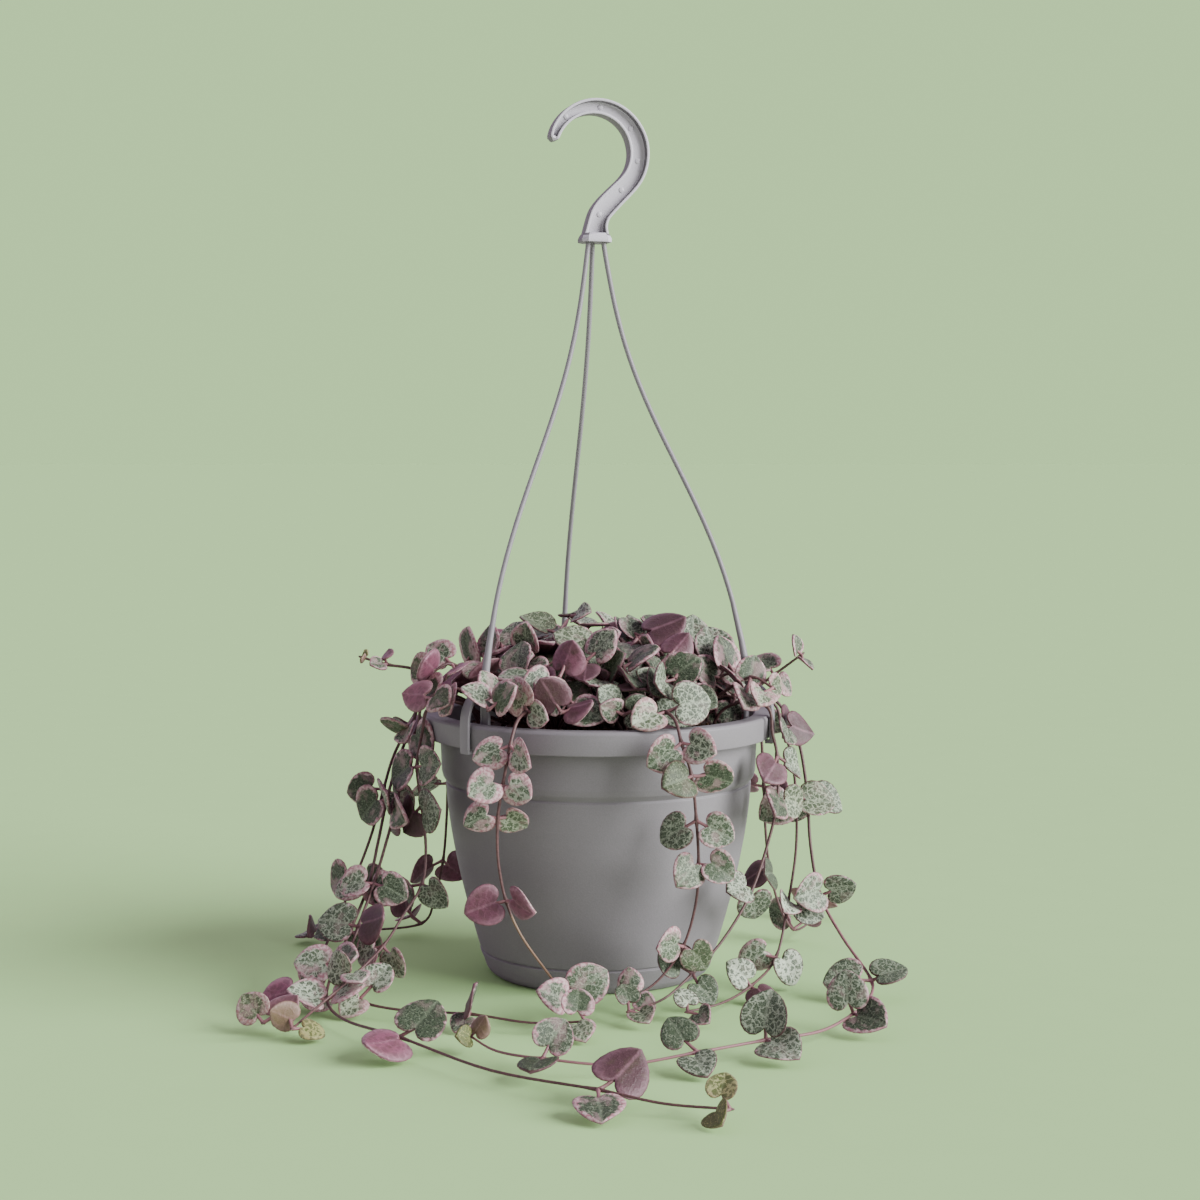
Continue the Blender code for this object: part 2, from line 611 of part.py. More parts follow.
class Plant:
    """Every leafy stem, laid out so that no blade crosses another, the pot or the hanger."""

    def __init__(self):
        self.stems = {}
        self.parts = {}
        fixed = [turned(pot_profile(), POT_SIDES)]
        for azimuth in ARMS.values():
            fixed += [tube(rod_path(azimuth), ROD_RADIUS + 0.5, 6),
                      strap(azimuth, STRAP_LINE, STRAP_WIDTH + 1.2, STRAP_THICKNESS + 1.0)]
        fixed.append(tube([Vector(point) for point in CLEAR_LINE], CLEAR_RADIUS, 6))
        self.fixed = [tree_of(shape) for shape in fixed]

    def clear(self, owner, leaf):
        """Whether a leaf stays off the floor, the soil, the pot and hanger and every other piece."""
        envelope = blade(leaf, FAT, FAT_THICKNESS, STALK_START)
        if min(p.z for p in envelope[0]) < FLOOR_CLEARANCE:
            return False
        for p in envelope[0]:
            flat = math.hypot(p.x, p.y)
            if flat < COLLAR_RADIUS and p.z < soil_top(flat) + 2.0:
                return False
        body, whole = tree_of(envelope), tree_of(blade(leaf, FAT, FAT_THICKNESS))
        if any(crosses(whole, f) for f in self.fixed):
            return False
        for name, parts in self.parts.items():
            if name == owner and any(kind != "wide stem" and crosses(body, part) for kind, part in parts):
                return False
            if name != owner and any(kind != "stem" and crosses(whole, part) for kind, part in parts):
                return False
        leaf["tree"] = body
        return True

    def stem_clear(self, owner, route):
        """Whether a new stem keeps off the other owners' stems and tubers."""
        path = fine_path(route)
        wide = tree_of(tube([path[m] for m in stem_marks(path)], STEM_RADIUS + 0.7, STEM_SIDES))
        return not any(
            kind == "wide stem" and crosses(wide, part)
            for name, parts in self.parts.items() if name != owner for kind, part in parts
        )

    def add_tuber(self, owner, centre):
        """Records a clump's tuber, so that all leaves and stems keep clear of it."""
        self.parts.setdefault(owner, []).append(("wide stem", tree_of(tuber(centre, TUBER_RADIUS + 0.8))))

    def add_stem(self, owner, route):
        """Records a stem before any leaf is set, so that all leaves keep clear of it."""
        path = fine_path(route)
        self.stems.setdefault(owner, []).append({"path": path, "route": route, "leaves": []})
        line = [path[m] for m in stem_marks(path)]
        parts = self.parts.setdefault(owner, [])
        parts.append(("stem", tree_of(tube(line, STEM_RADIUS, STEM_SIDES))))
        parts.append(("wide stem", tree_of(tube(line, STEM_RADIUS + 0.7, STEM_SIDES))))

    def add_leaves(self, owner):
        """Sets a pair of leaves at each leafy point of the owner's stems."""
        for number, stem in enumerate(self.stems[owner]):
            path = stem["path"]
            marks = stem_marks(path)
            for knot, point in enumerate(stem["route"]):
                if not point[3]:
                    continue
                node = node_on_stem(path, marks, knot * SPAN_STEPS)
                along = direction(path, knot * SPAN_STEPS)
                wanted, down = self.leaf_aim(node, owner)
                side = along.cross(wanted).normalized()
                for hand in (-1, 1):
                    key = (number, knot, hand)
                    self.set_leaf(owner, stem, key, node, along, side * hand, wanted, down, point[3])

    def leaf_aim(self, node, owner):
        """Where the leaves at a node face, and which way they droop."""
        out = Vector((node.x, node.y, 0)).normalized()
        up, front = Vector((0, 0, 1)), Vector((0, -1, 0))
        if owner.startswith("clump"):
            height = (node.z - SOIL_EDGE_Z) / MOUND_HEIGHT
            mound = Vector((node.x / MOUND_RADIUS, node.y / MOUND_RADIUS, height))
            return (mound.normalized() * 0.75 + up * 0.3 + front * 0.4).normalized(), out * 0.5
        light = out if owner.startswith("vine_back") else front
        if node.z < FLOOR_ZONE:
            return (light * 0.6 + up * 0.55 + out * 0.25).normalized(), up * 0.15
        return (light * 0.55 + up * 0.3 + out * 0.5).normalized(), -up

    def set_leaf(self, owner, stem, key, node, along, side, wanted, down, size):
        for attempt in range(TRIES):
            smaller = size * (1 - SHRINK * attempt / TRIES)
            leaf = leaf_draw(f"{owner}{key}{attempt}", node, along, side, wanted, down, smaller)
            if self.clear(owner, leaf):
                stem["leaves"].append(leaf)
                self.parts[owner].append(("leaf", leaf.pop("tree")))
                return


def mound_z(radius):
    """Height of the mound's surface at a distance from the pot's axis."""
    return SOIL_EDGE_Z + MOUND_HEIGHT * math.sqrt(max(0.05, 1 - (radius / (MOUND_RADIUS + 8)) ** 2))


def clump_places():
    """The tubers: one by the axis and the rest round it, as (x, y)."""
    places = [Vector((4, 6))]
    for n in range(CLUMPS - 1):
        place = around(20 + 360 / (CLUMPS - 1) * n, 35.0, 0)
        places.append(Vector((place.x, place.y)))
    return places


def sprig_route(number, centre, n, attempt):
    """A draw of a clump's sprig: it rises out of its tuber and ends at the mound's surface."""
    draw = random.Random(f"sprig{number}{n}{attempt}")
    turn = 360 / CLUMP_SPRIGS * n + draw.uniform(-25, 25) + 40 * number
    spread = around(turn, draw.uniform(15, 24), 0)
    end = Vector((centre.x + spread.x, centre.y + spread.y, 0))
    reach = min(end.length, MOUND_RADIUS)
    end = end.normalized() * reach
    end.z = max(118.0, mound_z(reach) - draw.uniform(3, 9))
    start = Vector((centre.x, centre.y, SOIL_EDGE_Z + 2))
    middle = start.lerp(end, 0.55) + Vector((0, 0, 5))
    return (*start, 0), (*middle, draw.uniform(13, 16)), (*end, draw.uniform(13, 17))


def grow():
    """The whole plant: stems first, then the leaves of the vines and of the mound."""
    plant = Plant()
    routes = dict(VINES)
    for name, (azimuth, reach) in BACK_VINES.items():
        routes[name] = back_route(azimuth, reach)
    for name, route in routes.items():
        plant.add_stem(name, over_rim(name, route))
    places = clump_places()
    for number, centre in enumerate(places):
        plant.add_tuber(f"clump_{number + 1}", centre)
    for route in SHOOTS.values():
        foot = Vector(route[0][:2])
        nearest = min(range(len(places)), key=lambda n: (places[n] - foot).length)
        start = (*places[nearest], SOIL_EDGE_Z + 2, 0)
        plant.add_stem(f"clump_{nearest + 1}", (start, *route))
    for number, centre in enumerate(places):
        name = f"clump_{number + 1}"
        for n in range(CLUMP_SPRIGS):
            draws = (sprig_route(number, centre, n, attempt) for attempt in range(TRIES))
            route = next((route for route in draws if plant.stem_clear(name, route)), None)
            if route:
                plant.add_stem(name, route)
    for name in plant.stems:
        plant.add_leaves(name)
    return plant, places


def tuber(centre, size=TUBER_RADIUS):
    """A low round tuber, half sunk in the soil."""
    rings = []
    for share in (-0.95, -0.55, 0.0, 0.55, 0.92):
        radius = size * math.sqrt(1 - share * share)
        height = SOIL_EDGE_Z + 1 + size * share * 0.8
        middle = Vector((centre.x, centre.y, height))
        turns = [2 * math.pi * s / 8 for s in range(8)]
        rings.append([middle + radius * Vector((math.cos(a), math.sin(a), 0)) for a in turns])
    return sweep(rings)


def make_foliage(plant, places):
    """A node for each vine and each clump, and the holes that they need in the soil."""
    roots = []
    for name, stems in plant.stems.items():
        shapes = []
        if name.startswith("clump"):
            centre = places[int(name.split("_")[1]) - 1]
            shapes.append(tuber(centre))
            roots.append((Vector((centre.x, centre.y, SOIL_EDGE_Z - TUBER_RADIUS)), TUBER_RADIUS + 1.0))
        for stem in stems:
            line = [stem["path"][m] for m in stem_marks(stem["path"])]
            shapes.append(tube(line, STEM_RADIUS, STEM_SIDES))
            shapes += [blade(leaf) for leaf in stem["leaves"]]
            if not name.startswith("clump"):
                root = stem["path"][0]
                roots.append((Vector((root.x, root.y, root.z - 1.0)), STEM_HOLE_RADIUS))
        solid(name, shapes, "foliage")
    return roots


def main():
    for old in list(bpy.data.objects):
        bpy.data.objects.remove(old)
    plant, places = grow()
    roots = make_foliage(plant, places)
    make_pot()
    make_soil(roots)
    make_hook()
    for name, azimuth in ARMS.items():
        solid(name, arm_shapes(azimuth), "hanger_plastic")
    for name, stems in plant.stems.items():
        wanted = sum(2 for stem in stems for point in stem["route"] if point[3])
        print(name, sum(len(stem["leaves"]) for stem in stems), "of", wanted)


main()
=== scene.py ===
import json
import math
import random

import bmesh
import bpy
import numpy as np
from mathutils import Matrix, Vector
from mathutils.bvhtree import BVHTree

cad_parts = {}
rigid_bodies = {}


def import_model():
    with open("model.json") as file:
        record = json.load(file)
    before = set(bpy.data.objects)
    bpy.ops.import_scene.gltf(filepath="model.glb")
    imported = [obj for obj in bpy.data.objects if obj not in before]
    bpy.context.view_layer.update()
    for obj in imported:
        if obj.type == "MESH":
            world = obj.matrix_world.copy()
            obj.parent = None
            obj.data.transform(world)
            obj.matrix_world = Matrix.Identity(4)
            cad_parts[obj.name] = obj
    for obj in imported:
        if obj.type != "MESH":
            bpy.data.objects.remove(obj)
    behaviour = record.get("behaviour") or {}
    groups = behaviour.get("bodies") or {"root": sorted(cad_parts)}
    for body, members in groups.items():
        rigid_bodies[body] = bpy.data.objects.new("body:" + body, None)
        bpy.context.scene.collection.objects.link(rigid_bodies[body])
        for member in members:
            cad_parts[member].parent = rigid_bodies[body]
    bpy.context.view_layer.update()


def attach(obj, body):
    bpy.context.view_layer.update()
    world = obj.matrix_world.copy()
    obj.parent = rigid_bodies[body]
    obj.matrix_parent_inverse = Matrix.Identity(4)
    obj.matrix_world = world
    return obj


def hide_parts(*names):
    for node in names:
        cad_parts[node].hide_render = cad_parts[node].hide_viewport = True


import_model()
mm = 0.001
scene = bpy.context.scene

# The plant's layout is worked out in millimetres, as the solids were, and each mesh is scaled to metres

potSize = {
    "rimRadius": 75.0, "rimTop": 113.0, "skirtBottom": 103.2, "skirtWall": 1.6, "collarRadius": 68.7,
    "shoulderTop": 87.5, "shoulderRadius": 66.0, "shoulderZ": 84.0, "baseRadius": 47.8, "bowlCurve": 1.55,
    "footLineZ": 11.0, "footStep": 0.5, "wall": 1.8, "floorTop": 3.6,
    "groove": 0.55, "drainHoles": 6, "drainRadius": 3.5, "drainCircle": 26.0, "sides": 144, "layoutSides": 32,
}
soilSize = {"edgeZ": 103.5, "crown": 3.0, "crumbs": 620}
hangerSize = {
    "x": -1.6, "hookTurn": math.radians(16.0), "hookCentreZ": 351.5, "hookRadius": 19.2,
    "tipAngle": 168.0, "leaveAngle": -45.0, "hookDepth": 7.0, "channelDepth": 3.2, "channelWall": 1.2,
    "collar": (13.0, 12.0), "collarCorner": 2.2, "collarBottom": 313.4, "collarSteps": (
        (0, 0.5), (0.15, 0.15), (0.45, 0.0), (1.5, 0.0), (1.9, 0.15), (2.9, 0.55), (3.6, 1.0), (4.0, 1.5),
    ),
    "socketCircle": 4.0, "socketDepth": 3.0, "gap": 0.3,
    "rodRadius": 1.05, "rodFootRadius": 66.2, "rodFootZ": 126.4, "rodBow": 0.5,
    "rodFoot": (1.06, 1.35, 1.7, 1.75),
    "strapWidth": 5.0, "strapThickness": 1.5, "strapEnds": (0.86, 0.96, 1.0), "lipThickness": 1.3,
}
hookNeck = ((9.0, -18.1, 4.4), (5.0, -22.2, 4.5), (2.0, -26.0, 4.4), (0.5, -30.5, 4.5), (0.0, -36.0, 5.6))
strapLine = (
    (76.2, 101.4), (76.2, 108.0), (76.1, 115.0), (75.0, 119.6), (72.6, 123.6), (69.2, 126.2),
    (66.4, 126.4), (65.2, 123.6), (65.2, 115.0), (65.2, 106.5),
)
lipLine = ((76.6, 102.1), (75.2, 102.15), (73.6, 102.1))
arms = {"arm_left": -45.5, "arm_right": 74.5, "arm_back": 194.5}
clearLine, clearRadius = ((-57, -57, 117), (-55, -86, 120)), 8.0  # no leaf hides the left clip
plantSize = {
    "stemRadius": 0.85, "stemRoom": 0.7, "stemSides": 3, "stalkWidth": 1.1, "rootShare": 0.45,
    "sinus": 0.13, "bend": 0.78, "centre": 0.42, "fat": 1.06, "fatThickness": 3.0, "stalkStart": 0.45,
    "spanSteps": 6, "stemStep": 19.0, "keptKnots": (0, 1, 3, 4), "tries": 160, "shrink": 0.3,
    "floorClearance": 0.6, "floorZone": 14.0, "clumps": 8, "turnedOver": 0.2, "tilt": 0.55,
    "moundRadius": 72.0, "moundHeight": 47.0, "tuberRadius": 6.0, "stemStartZ": 105.5,
}
# Sprigs of the mound: the laid-out ones, and the short side sprigs that close the mound between them
sprigs = {"count": 4, "tries": 160, "spread": (15, 24), "under": (3, 9), "widest": 72.0, "lowest": 118.0}
filling = {
    "count": 7, "tries": 30, "spread": (8, 27), "under": (1, 16), "widest": 69.0, "lowest": 112.0,
    "leaf": (11.0, 15.5), "fat": 0.92, "thickness": 1.3,
}
halfHeart = ((-0.05, 0.25), (0.24, 0.54), (0.69, 0.42))
overRimLine = ((52, 98), (52, 108), (57, 116), (67, 119.5), (76.5, 117))

# Each point of a vine from the rim on: x, y, z and the length of its leaves, 0 for none
vines = {
    "vine_left_a": (
        (-80, -7, 108, 12), (-86, -12, 92, 0),
        (-90, -18, 77, 16), (-93, -27, 60, 0), (-96, -38, 44, 14), (-102, -52, 28, 14), (-107, -66, 16, 15),
        (-108, -81, 7, 14), (-98, -104, 5, 0), (-74, -135, 7, 17), (-38, -174, 6, 0), (0, -200, 7, 17),
        (22, -209, 5, 0), (44, -215, 5, 11),
    ),
    "vine_left_b": (
        (-77, -16, 106, 15), (-82, -20, 92, 0),
        (-85, -25, 77, 16), (-89, -33, 61, 0), (-93, -44, 46, 14), (-98, -57, 31, 15), (-102, -69, 16, 0),
        (-95, -81, 7, 14), (-76, -90, 5, 0), (-50, -99, 6, 13), (-26, -108, 5, 0), (-5, -110, 6, 12),
    ),
    "vine_left_c": (
        (-74, -28, 107, 0), (-76, -31, 93, 16),
        (-74, -33, 77, 18), (-72, -37, 60, 0), (-73, -44, 46, 14), (-80, -54, 35, 0), (-87, -66, 25, 14),
        (-98, -82, 16, 12), (-109, -99, 9, 0), (-116, -120, 6, 11),
    ),
    "vine_left_d": (
        (-82, 7, 107, 14), (-89, 3, 93, 0),
        (-93, -3, 79, 14), (-97, -12, 62, 0), (-102, -25, 47, 15), (-108, -40, 32, 0), (-114, -56, 18, 15),
        (-121, -74, 8, 14), (-126, -93, 5, 0), (-129, -108, 5, 13),
    ),
    "vine_front_left": (
        (-35, -75, 108, 15), (-38, -77, 92, 14),
        (-40, -76, 79, 13), (-40, -75, 62, 0), (-37, -73, 45, 15), (-31, -73, 31, 0), (-21, -78, 18, 0),
        (-10, -90, 7, 15),
    ),
    "vine_front_right": (
        (33, -75, 109, 14), (37, -77, 96, 15),
        (39, -76, 78, 15), (40, -74, 60, 13), (39, -71, 43, 0), (34, -71, 26, 13), (24, -74, 13, 0),
        (12, -80, 6, 9),
    ),
    "vine_right_a": (
        (82, 5, 110, 15), (87, 2, 99, 0),
        (90, -4, 79, 15), (91, -12, 56, 0), (94, -24, 37, 14), (102, -37, 22, 0), (112, -55, 8, 15),
        (107, -78, 5, 0), (99, -102, 7, 15), (84, -120, 5, 0), (62, -139, 7, 16), (36, -155, 7, 15),
        (8, -164, 5, 0), (-20, -163, 7, 14), (-37, -150, 6, 0), (-48, -130, 6, 8),
    ),
    "vine_right_b": (
        (78, -15, 108, 13), (82, -17, 96, 0),
        (84, -18, 79, 16), (84, -20, 56, 0), (80, -27, 34, 13), (74, -40, 14, 13), (62, -60, 7, 13),
        (49, -79, 5, 0), (35, -92, 5, 10),
    ),
    "vine_right_c": (
        (73, -28, 107, 0), (75, -29, 97, 14),
        (75, -31, 79, 15), (71, -35, 62, 0), (63, -44, 42, 14), (51, -55, 25, 0), (38, -67, 14, 13),
        (26, -80, 7, 0), (12, -95, 6, 10),
    ),
}
backVines = {"vine_back_a": (116.0, 44.0), "vine_back_b": (163.0, 26.0), "vine_back_c": (236.0, 38.0)}
backSideLine = (
    (80.5, 107, 14), (82, 92, 0), (83, 74, 15),
    (84, 55, 0), (86, 38, 14), (91, 20, 0), (99, 7, 13),
)
shoots = {
    "left": ((-60, -12, 118, 0), (-76, -13, 131, 9), (-90, -12, 134, 8), (-101, -11, 137, 4)),
    "right": ((62, 2, 118, 0), (76, 3, 128, 11), (88, 2, 137, 9)),
    "top": ((4, 16, 128, 0), (-6, 13, 146, 12), (-12, 10, 153, 10)),
    "crest": ((18, 12, 126, 0), (22, 10, 146, 13), (25, 8, 152, 11)),
    "front_left": ((-32, -42, 120, 0), (-38, -54, 124, 15), (-44, -66, 121, 14)),
    "front_middle": ((-12, -44, 120, 0), (-12, -56, 124, 15), (-15, -66, 120, 14)),
    "front_right": ((10, -46, 119, 0), (9, -56, 123, 13), (10, -65, 119, 11)),
    "left_low": ((-50, -22, 120, 0), (-62, -36, 127, 14), (-70, -43, 123, 13)),
    "left_high": ((-48, -6, 124, 0), (-62, -20, 135, 14), (-71, -25, 131, 13)),
    "right_low": ((52, -18, 122, 0), (64, -26, 130, 14), (73, -30, 126, 12)),
}
rimLeaves = {"vine_front_left": 14, "vine_front_right": 16}

# Looks of each vine's leaves: share of dark green, share of pink, paleness
vineLooks = {
    "vine_left_a": (0.75, 0.35, 0.22), "vine_left_b": (0.75, 0.45, 0.20), "vine_left_c": (0.88, 0.25, 0.12),
    "vine_left_d": (0.65, 0.50, 0.25), "vine_front_left": (0.40, 0.80, 0.62),
    "vine_front_right": (0.60, 0.45, 0.42), "vine_right_a": (0.66, 0.15, 0.50),
    "vine_right_b": (0.66, 0.26, 0.52), "vine_right_c": (0.74, 0.30, 0.40),
    "vine_back_a": (0.7, 0.3, 0.4), "vine_back_b": (0.7, 0.3, 0.4), "vine_back_c": (0.7, 0.4, 0.3),
}


def around(azimuth, radius, z):
    turn = math.radians(azimuth)
    return Vector((radius * math.sin(turn), -radius * math.cos(turn), z))


def direction(path, i):
    return (path[min(i + 1, len(path) - 1)] - path[max(i - 1, 0)]).normalized()


def sweepShape(rings):
    sides = len(rings[0])
    points = [p for ring in rings for p in ring]
    faces = [tuple(range(sides)), tuple(reversed(range((len(rings) - 1) * sides, len(rings) * sides)))]
    for r in range(len(rings) - 1):
        for s in range(sides):
            a, b = r * sides + s, r * sides + (s + 1) % sides
            faces.append((a, b, b + sides, a + sides))
    return points, faces


def tubeShape(path, radius, sides):
    across = direction(path, 0).orthogonal().normalized()
    rings = []
    for i, point in enumerate(path):
        along = direction(path, i)
        across = (across - along * across.dot(along)).normalized()
        other = along.cross(across)
        r = radius[i] if isinstance(radius, (list, tuple)) else radius
        turns = [2 * math.pi * s / sides for s in range(sides)]
        rings.append([point + r * (math.cos(a) * across + math.sin(a) * other) for a in turns])
    return sweepShape(rings)


def turnedShape(profile, sides):
    points = [Vector((0, 0, profile[0][1])), Vector((0, 0, profile[-1][1]))]
    rings = profile[1:-1]
    for radius, z in rings:
        for s in range(sides):
            turn = 2 * math.pi * s / sides
            points.append(Vector((radius * math.sin(turn), -radius * math.cos(turn), z)))
    faces = []
    for s in range(sides):
        t = (s + 1) % sides
        faces.append((0, 2 + s, 2 + t))
        last = 2 + (len(rings) - 1) * sides
        faces.append((1, last + t, last + s))
        for r in range(len(rings) - 1):
            a = 2 + r * sides
            faces.append((a + s, a + sides + s, a + sides + t, a + t))
    return points, faces


def bowlRadius(z):
    p = potSize
    narrower = (p["shoulderRadius"] - p["baseRadius"]) * (1 - z / p["shoulderZ"]) ** p["bowlCurve"]
    return p["shoulderRadius"] - narrower


def innerRadius(z):
    p = potSize
    if z >= p["shoulderTop"]:
        return p["collarRadius"] - p["wall"]
    return bowlRadius(min(z, p["shoulderZ"])) - p["wall"]


def layoutProfile():
    p = potSize
    rim, top, skirt = p["rimRadius"], p["rimTop"], p["rimRadius"] - p["skirtWall"]
    underside = [(0, 0), (45.4, 0), (47.4, 1.2)]
    foot = [(bowlRadius(5), 5.0), (bowlRadius(p["footLineZ"]) + p["footStep"], p["footLineZ"] - 0.2)]
    bowl = [(bowlRadius(z), z) for z in (p["footLineZ"] + 0.2, 26, 45, 64, p["shoulderZ"])]
    edge = [
        (p["collarRadius"] - 1.0, p["shoulderTop"]), (p["collarRadius"], top - 2.6), (skirt, top - 2.6),
        (skirt - 0.2, p["skirtBottom"]), (rim - 0.3, p["skirtBottom"]), (rim, top - 1.4), (rim - 1.0, top),
        (p["collarRadius"] - p["wall"] + 0.8, top), (p["collarRadius"] - p["wall"], top - 1.0),
    ]
    inside = [(innerRadius(z), z) for z in (p["shoulderTop"], p["shoulderZ"], 60, 34, 12)]
    floor = [(innerRadius(p["floorTop"]) - 2.5, p["floorTop"]), (0, p["floorTop"])]
    return underside + foot + bowl + edge + inside + floor


def soilTop(radius):
    return soilSize["edgeZ"] + soilSize["crown"] * (1 - (radius / potSize["collarRadius"]) ** 2)


def rodPath(azimuth, steps=9):
    h = hangerSize
    topZ = h["collarBottom"] + h["socketDepth"] - h["gap"]
    top = around(azimuth, h["socketCircle"], topZ) + Vector((h["x"], 0, 0))
    start = Vector((top.x, top.y, h["collarBottom"] - 1))
    foot = around(azimuth, h["rodFootRadius"], h["rodFootZ"])
    path = [top]
    for n in range(steps + 1):
        share = n / steps
        spread = share - h["rodBow"] * math.sin(2 * math.pi * share) / (2 * math.pi)
        point = start.lerp(foot, spread)
        point.z = start.z + (foot.z - start.z) * share
        path.append(point)
    return path


def strapShape(azimuth, line, width, thickness):
    across = around(azimuth + 90, width / 2, 0)
    path = [Vector((r, 0, z)) for r, z in line]
    rings = []
    for i, point in enumerate(path):
        along = direction(path, i)
        side = Vector((-along.z, 0, along.x)) * thickness / 2
        outer, inner = point + side, point - side
        rings.append([around(azimuth, outer.x, outer.z) - across, around(azimuth, outer.x, outer.z) + across,
                      around(azimuth, inner.x, inner.z) + across, around(azimuth, inner.x, inner.z) - across])
    return sweepShape(rings)


# Layout of the plant, drawn in the same order and with the same seeds as the solids

def curvePoint(a, b, c, d, t):  # on the smooth curve from b to c
    return 0.5 * (2 * b + (c - a) * t + (2 * a - 5 * b + 4 * c - d) * t**2 + (3 * b - a - 3 * c + d) * t**3)


def finePath(route, steps=None):
    steps = steps or plantSize["spanSteps"]
    knots = [Vector(p[:3]) for p in route]
    ends = [2 * knots[0] - knots[1]] + knots + [2 * knots[-1] - knots[-2]]
    path = []
    for i in range(len(knots) - 1):
        path += [curvePoint(*ends[i : i + 4], n / steps) for n in range(steps)]
    return path + [knots[-1]]


def stemMarks(path):
    steps, step = plantSize["spanSteps"], plantSize["stemStep"]
    marks = [knot * steps for knot in plantSize["keptKnots"] if knot * steps < len(path) - 1]
    for n, point in enumerate(path[:-1]):
        fromMark, fromEnd = (point - path[marks[-1]]).length, (point - path[-1]).length
        if n > marks[-1] and fromMark >= step and fromEnd >= step * 0.5:
            marks.append(n)
    return marks + [len(path) - 1]


def nodeOnStem(path, marks, index):
    start = max(m for m in marks[:-1] if m <= index)
    end = min(m for m in marks if m > start)
    share = min(0.85, max(0.15, (index - start) / (end - start)))
    return path[start].lerp(path[end], share)


def overRim(name, route):
    azimuth = math.degrees(math.atan2(route[0][0], -route[0][1]))
    start = [(*around(azimuth, radius, z), 0) for radius, z in overRimLine]
    start[3] = (*start[3][:3], rimLeaves.get(name, 0))
    return start + list(route)


def backRoute(azimuth, reach):
    route = []
    for radius, z, leaf in backSideLine:
        place = around(azimuth, radius, z)
        route.append((place.x, place.y, place.z, leaf))
    for n in (1, 2):
        place = around(azimuth + 9 * n, 99 + reach * n / 2, 5)
        route.append((place.x, place.y, 5, (0, 11)[n - 1]))
    return route


def plainBlade(leaf, grow, thickness, start=0.0):
    p = plantSize
    flat = list(halfHeart) + [(1.0, 0.0)] + [(u, -v) for u, v in reversed(halfHeart)]
    rim = []
    for u, v in flat:
        u, v = p["centre"] + (u - p["centre"]) * grow, v * grow
        rise = leaf["cup"] * v * v - leaf["curl"] * max(0.0, u - p["centre"]) ** 2
        place = leaf["along"] * u + leaf["side"] * v + leaf["face"] * rise
        rim.append(leaf["origin"] + leaf["size"] * place)
    notch = leaf["origin"] + leaf["along"] * leaf["size"] * p["sinus"]
    middle = leaf["origin"] + leaf["along"] * leaf["size"] * p["centre"]
    width = p["stalkWidth"] / 2 + (grow - 1) * 4
    lift = leaf["face"] * thickness / 2
    across = leaf["side"] * width
    top, under = middle + lift, middle - lift
    ring = [notch - across, notch + across, notch - leaf["face"] * width * 1.6]
    root = [notch + (leaf["stem"] - notch) * (1 - start) + (point - notch) * p["rootShare"] for point in ring]
    points = rim + [top, under] + ring + root
    count = len(rim)
    up, down, left, right, below = count, count + 1, count + 2, count + 3, count + 4
    faces = [(up, left, right), (down, right, below), (down, below, left)]
    chain = [right] + list(range(count)) + [left]
    for a, b in zip(chain, chain[1:]):
        faces += [(up, a, b), (down, b, a)]
    for a, b in ((left, right), (right, below), (below, left)):
        faces += [(b, a, a + 3), (b, a + 3, b + 3)]
    faces.append((left + 3, below + 3, right + 3))
    return points, faces


def treeOf(shape):
    points, faces = shape
    middle = sum(points, Vector()) / len(points)
    reach = max((p - middle).length for p in points)
    return {"tree": BVHTree.FromPolygons(points, faces), "middle": middle, "reach": reach}


def crosses(one, other):
    near = (one["middle"] - other["middle"]).length < one["reach"] + other["reach"]
    return near and bool(one["tree"].overlap(other["tree"]))


def leafDraw(seed, node, along, side, wanted, down, size):
    bend, sinus = plantSize["bend"], plantSize["sinus"]
    draw = random.Random(seed)
    turn = Matrix.Rotation(math.radians(draw.uniform(-55, 55)), 3, along)
    out = (turn @ side).normalized()
    stalk = (out + wanted * 0.35).normalized()
    notch = node + stalk * size * draw.uniform(0.25, 0.42)
    drop = down * draw.uniform(0.1, 1.0)
    midrib = (out * draw.uniform(0.5, 1.1) + drop + along * draw.uniform(-0.4, 0.4)).normalized()
    if midrib.dot(stalk) < bend:
        bent = (midrib - stalk * midrib.dot(stalk)).normalized()
        midrib = stalk * bend + bent * math.sqrt(1 - bend * bend)
    tilt = Vector((draw.uniform(-1, 1), draw.uniform(-1, 1), draw.uniform(-1, 1))) * plantSize["tilt"]
    face = wanted + tilt
    face = (face - midrib * face.dot(midrib)).normalized()
    if draw.random() < plantSize["turnedOver"]:
        face = -face
    grown = size * draw.uniform(0.88, 1.1)
    return {
        "stem": node, "origin": notch - midrib * grown * sinus, "along": midrib, "face": face,
        "side": face.cross(midrib), "size": grown, "cup": draw.uniform(-0.1, 0.5),
        "curl": draw.uniform(0.0, 0.35), "tone": draw.random(), "draw": draw.random(),
    }


def stemTree(path, room):
    line = [path[m] for m in stemMarks(path)]
    return treeOf(tubeShape(line, plantSize["stemRadius"] + room, plantSize["stemSides"]))


